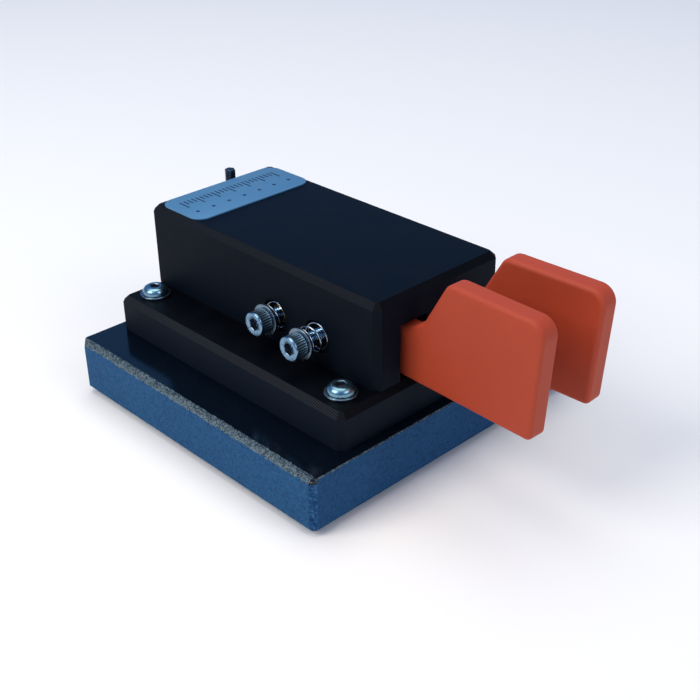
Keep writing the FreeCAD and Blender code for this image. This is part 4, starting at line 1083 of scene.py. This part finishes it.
def build_scale(middle, top):
    """A plain graduated scale on the label, over a row of evenly spaced dots."""
    ink = 0.02
    spacing = 1.45
    ticks = 25
    every = 4
    tick_top = 5.2
    dots = 7
    dot_row = -3.6
    shape = Shape()
    for number in range(ticks):
        half_tall = 2.4 if number % every == 0 else 1.4
        across = (number - (ticks - 1) / 2) * spacing
        tick = thin_bar(half_x=0.26, half_y=half_tall, radius=0.25, thick=ink)
        shape.add_shape(tick, (across, tick_top - half_tall, 0.0))
    for number in range(dots):
        across = (number - (dots - 1) / 2) * every * spacing
        dot = thin_bar(half_x=0.6, half_y=0.6, radius=0.59, thick=ink)
        shape.add_shape(dot, (across, dot_row, 0.0))
    marks = make_object("label_scale", shape, ["ink"], (middle.x, middle.y, top))
    bpy.context.view_layer.update()
    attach(marks, "base")


def bevelled_box(half, soft):
    """A box with rounded edges, centred on 0, from its half sizes."""
    mesh = bmesh.new()
    bmesh.ops.create_cube(mesh, size=2.0)
    bmesh.ops.scale(mesh, vec=Vector(half), verts=mesh.verts)
    bmesh.ops.bevel(
        mesh, geom=list(mesh.edges), offset=soft, segments=3, profile=0.5, affect="EDGES")
    mesh.verts.index_update()
    shape = Shape()
    shape.points = [corner.co.copy() for corner in mesh.verts]
    for face in mesh.faces:
        shape.add_face([corner.index for corner in face.verts])
    mesh.free()
    return shape


def build_jack():
    """The panel jack: moulded housing with three lugs, threaded barrel with its bore, and nut."""
    low, high = box_mm("jack_body")
    axis_x = (low.x + high.x) / 2
    axis_z = (low.z + high.z) / 2
    lug_length = 3.0
    reach = 5.6
    shoulder = high.y - reach
    back = low.y + lug_length
    half = Vector(((high.x - low.x) / 2, (shoulder - back) / 2, (high.z - low.z) / 2))
    middle = (axis_x, (shoulder + back) / 2, axis_z)

    housing = bevelled_box(half, soft=0.35)
    seam = bevelled_box((half.x + 0.02, half.y - 0.6, 0.12), soft=0.05)
    housing.add_shape(seam, (0, 0, 0.4))
    add_piece("jack_housing", housing, ["moulded"], "base", "black_moulding", "jack_body", middle)

    lug = bevelled_box((0.8, lug_length / 2 + 0.4, 0.3), soft=0.1)
    lug_row = -half.y - lug_length / 2 + 0.4
    lugs = copies(lug, [(x, lug_row) for x in (-3.0, 0.0, 3.0)], height=-3.9)
    add_piece("jack_lugs", lugs, ["nickel"], "base", "nickel", "jack_body", middle)

    bore = 1.8
    bore_depth = 4.8
    count = 48
    rows = [pole(0.0), ring(2.9, 0.0, count)]
    rows += thread_rows(outside=3.0, pitch=0.5, low=0.05, high=reach - 0.25, count=count)
    rows += turned([
        (2.72, reach),
        (bore + 0.3, reach),
        (bore, reach - 0.3),
        (bore, reach - bore_depth),
    ], count)
    barrel = one_skin(rows + [pole(reach - bore_depth)])
    add_piece("jack_barrel", barrel, ["nickel"], "base", "nickel", "jack_body",
              (axis_x, shoulder, axis_z), TOWARDS_REAR)

    low, high = box_mm("jack_nut")
    nut = nut_shape(flats=8.0, bore=3.03, thick=high.y - low.y)
    add_piece("barrel_nut", nut, ["nickel"], "base", "nickel", "jack_nut",
              (axis_x, low.y, axis_z), TOWARDS_REAR)


# ---- screws, washers, springs, bearings

def build_base_fixings():
    """Four button head screws on their washers."""
    low, high = box_mm("base_screws")
    seat = high.z - BUTTON_HEIGHT
    screw = button_screw_shape(seat - low.z)
    screws = Shape()
    spins = (0.35, 1.1, 0.05, 0.8)
    for spin, (x, y) in zip(spins, corner_places("base_screws", BUTTON_HEAD)):
        screws.add_shape(screw, (x, y, seat), Matrix.Rotation(spin, 3, "Z"))
    add_piece("button_screws", screws, ["button", "socket"], "base", "stainless", "base_screws")

    low, high = box_mm("base_washers")
    washers = copies(washer_shape(high.z - low.z), corner_places("base_washers", WASHER), low.z)
    add_piece("plate_washers", washers, ["washer"], "base", "stainless", "base_washers")


def build_adjuster(side, sign, kind, spin, coils):
    """One adjuster: cap screw and washer on the bodies that the frame gives them, and a spring in
    its place.
    """
    name = f"{side}_{kind}"
    outwards = TOWARDS_LEFT if sign < 0 else TOWARDS_RIGHT
    spun = outwards @ Matrix.Rotation(spin, 3, "Z")
    low, high = box_mm(f"{name}_screw")
    axis = (low + high) / 2

    def ends(part):
        """Inner and outer end of one of the adjuster's parts."""
        low, high = box_mm(f"{name}_{part}")
        return (high.x, low.x) if sign < 0 else (low.x, high.x)

    def on_axis(x):
        return x, axis.y, axis.z

    tip, top = ends("screw")
    screw = cap_screw_shape(abs(top - tip) - CAP_HEIGHT)
    add_piece(f"{name}_cap_screw", screw, ["stainless", "socket", "knurl"], f"{name}_screw",
              "stainless", f"{name}_screw", on_axis(top - sign * CAP_HEIGHT), spun)

    inner, outer = ends("washer")
    add_piece(f"{name}_plain_washer", washer_shape(abs(outer - inner)), ["washer"],
              f"{name}_washer", "stainless", f"{name}_washer", on_axis(inner), outwards)

    seat, top = ends("spring")
    height = abs(top - seat)
    clear = 0.46 if kind == "tension" else 0.03
    spring = spring_shape(mean=3.74, wire=0.44, low=clear, high=height - 0.02, coils=coils)
    coil = make_object(f"{name}_coil_spring", spring, ["spring"], on_axis(seat), spun)
    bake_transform(coil)
    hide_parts(f"{name}_spring")


def build_adjusters():
    """Two adjusters on each side, each turned about its axis by an angle of its own."""
    spins = {
        "left_tension": 0.3,
        "left_rest": 0.12,
        "right_tension": 0.7,
        "right_rest": 0.45,
    }
    for side, sign in SIDES:
        for kind, coils in (("tension", 1.6), ("rest", 0.9)):
            build_adjuster(side, sign, kind, spins[f"{side}_{kind}"], coils)


def build_inserts():
    """Knurled brass inserts in the slab, the cover, its walls and the levers."""
    for name, node, outside, bore in (
        ("stone_inserts", "slab_inserts", SLAB_INSERT, M4_TAPPED),
        ("corner_inserts", "cover_inserts", COVER_INSERT, M3_TAPPED),
    ):
        low, high = box_mm(node)
        insert = insert_shape(outside, bore, high.z - low.z)
        inserts = copies(insert, corner_places(node, outside), low.z)
        add_piece(name, inserts, ["brass"], "base", "brass", node)

    for side, _ in SIDES:
        for kind, body in (("rest_insert", "base"), ("lever_insert", f"{side}_lever")):
            node = f"{side}_{kind}"
            low, high = box_mm(node)
            axis = (low + high) / 2
            insert = insert_shape(outside=2.8, bore=M4_TAPPED, length=high.x - low.x)
            add_piece(f"{node}_knurled", insert, ["brass"], body, "brass", node,
                      (low.x, axis.y, axis.z), TOWARDS_RIGHT)


def build_bearings():
    """Two shielded ball bearings in each lever's hub."""
    width = 4.0
    race = bearing_shape(outside=4.0, bore=M3_TAPPED, width=width)
    for side, _ in SIDES:
        node = f"{side}_bearings"
        low, high = box_mm(node)
        centre = (low + high) / 2
        shape = Shape()
        for height in (low.z + width / 2, high.z - width / 2):
            shape.add_shape(race, (0, 0, height - centre.z))
        add_piece(f"{side}_ball_bearings", shape, ["bearing"], f"{side}_lever", "bearing_steel",
                  node, tuple(centre))


# ---- carried-over CAD nodes

CARRIED = {
    "plate": ["base_plate"],
    "cover": ["top_cover"],
    "orange": ["left_lever", "right_lever"],
    "nickel": ["contact_post", "post_terminal", "pivot_terminals", "left_contact", "right_contact"],
    "bearing": ["left_pivot_pin", "right_pivot_pin"],
    "brass": ["left_contact_strip", "right_contact_strip"],
    "stainless": ["cover_screws", "contact_post_screw"],
    "jacket": ["jack_wires"],
    "oxide": ["hex_key"],
}


def paint_carried_nodes():
    """Give every carried-over CAD node its material."""
    for material, nodes in CARRIED.items():
        for node in nodes:
            slots = NODES[node].material_slots
            if not slots:
                NODES[node].data.materials.append(MATERIALS[material])
            for slot in slots:
                slot.material = MATERIALS[material]


# ---- floor, lights and camera

def build_floor():
    """A plain pale floor under the rubber feet."""
    reach = 3000.0
    level = box_mm("rubber_feet")[0].z
    floor = Shape()
    signs = ((-1, -1), (1, -1), (1, 1), (-1, 1))
    floor.add_face(floor.add_row((x * reach, y * reach, level) for x, y in signs))
    make_object("floor", floor, ["floor"])


def add_softbox(name, place, aim, width, height, power, colour):
    """A rectangular area light at a place in metres, aimed at a point; its power is in watts."""
    data = bpy.data.lights.new(name, "AREA")
    data.shape = "RECTANGLE"
    data.size = width
    data.size_y = height
    data.energy = power
    data.color = colour
    lamp = new_object(name, data)
    lamp.location = place
    direction = Vector(aim) - Vector(place)
    lamp.rotation_mode = "QUATERNION"
    lamp.rotation_quaternion = direction.to_track_quat("-Z", "Y")


def build_lights():
    """A warm key light from the left, a front fill and a broad light from above."""
    aim = (0.0, -0.01, 0.03)
    add_softbox("key_light", (-0.62, 0.16, 0.60), aim, 0.45, 0.45, 4.4, (1.0, 0.95, 0.88))
    add_softbox("front_light", (0.10, -0.72, 0.60), aim, 0.5, 0.4, 1.9, (1.0, 0.96, 0.90))
    add_softbox("top_light", (0.1, 0.25, 1.2), aim, 1.0, 1.0, 6.4, (1.0, 0.98, 0.95))


def build_world():
    """A pale surround with a band of blue sky halfway up, which the polished faces reflect."""
    world = bpy.data.worlds.new("surround")
    bpy.context.scene.world = world
    world.use_nodes = True
    tree = world.node_tree
    background = tree.nodes["Background"]
    coordinates = tree.nodes.new("ShaderNodeTexCoord")
    split = tree.nodes.new("ShaderNodeSeparateXYZ")
    ramp = tree.nodes.new("ShaderNodeValToRGB")
    tree.links.new(coordinates.outputs["Generated"], split.inputs[0])
    tree.links.new(split.outputs["Z"], ramp.inputs["Fac"])
    tree.links.new(ramp.outputs["Color"], background.inputs["Color"])
    stops = ramp.color_ramp.elements
    stops[0].color = (0.92, 0.95, 1.0, 1.0)
    stops[1].color = (0.90, 0.90, 0.92, 1.0)
    band = ((0.10, (0.50, 0.62, 0.82)), (0.22, (0.14, 0.36, 0.80)), (0.65, (0.12, 0.34, 0.80)))
    for height, shade in band:
        stops.new(height).color = (*shade, 1.0)
    background.inputs["Strength"].default_value = 0.68


def build_camera():
    """The photograph's viewpoint: its bearing, height, roll and field of view."""
    bearing = math.radians(-43.7105)
    height = math.radians(29.5489)
    roll = math.radians(-0.7939)
    distance = 0.346803
    shift_right = 0.007960
    shift_up = -0.002902
    aim = Vector((0.0, 0.0, 0.015))
    back = Vector((
        math.sin(bearing) * math.cos(height),
        -math.cos(bearing) * math.cos(height),
        math.sin(height),
    ))
    right = Vector((0, 0, 1)).cross(back).normalized()
    up = back.cross(right)
    place = aim + back * distance + right * shift_right + up * shift_up
    rolled_right = right * math.cos(roll) + up * math.sin(roll)
    rolled_up = up * math.cos(roll) - right * math.sin(roll)
    data = bpy.data.cameras.new("camera")
    data.sensor_width = 36.0
    data.lens = 60.371
    data.clip_start = 0.01
    camera = new_object("camera", data)
    turn = Matrix((rolled_right, rolled_up, back)).transposed()
    camera.matrix_world = Matrix.Translation(place) @ turn.to_4x4()
    bpy.context.scene.camera = camera


def corners(box):
    """A box's two corners as lists."""
    return [list(box[0]), list(box[1])]


build_camera()
build_world()
build_lights()
build_floor()
build_slab()
build_feet()
build_label()
build_jack()
build_base_fixings()
build_adjusters()
build_inserts()
build_bearings()
paint_carried_nodes()
bpy.context.scene.view_settings.view_transform = "Standard"

bpy.context.view_layer.update()
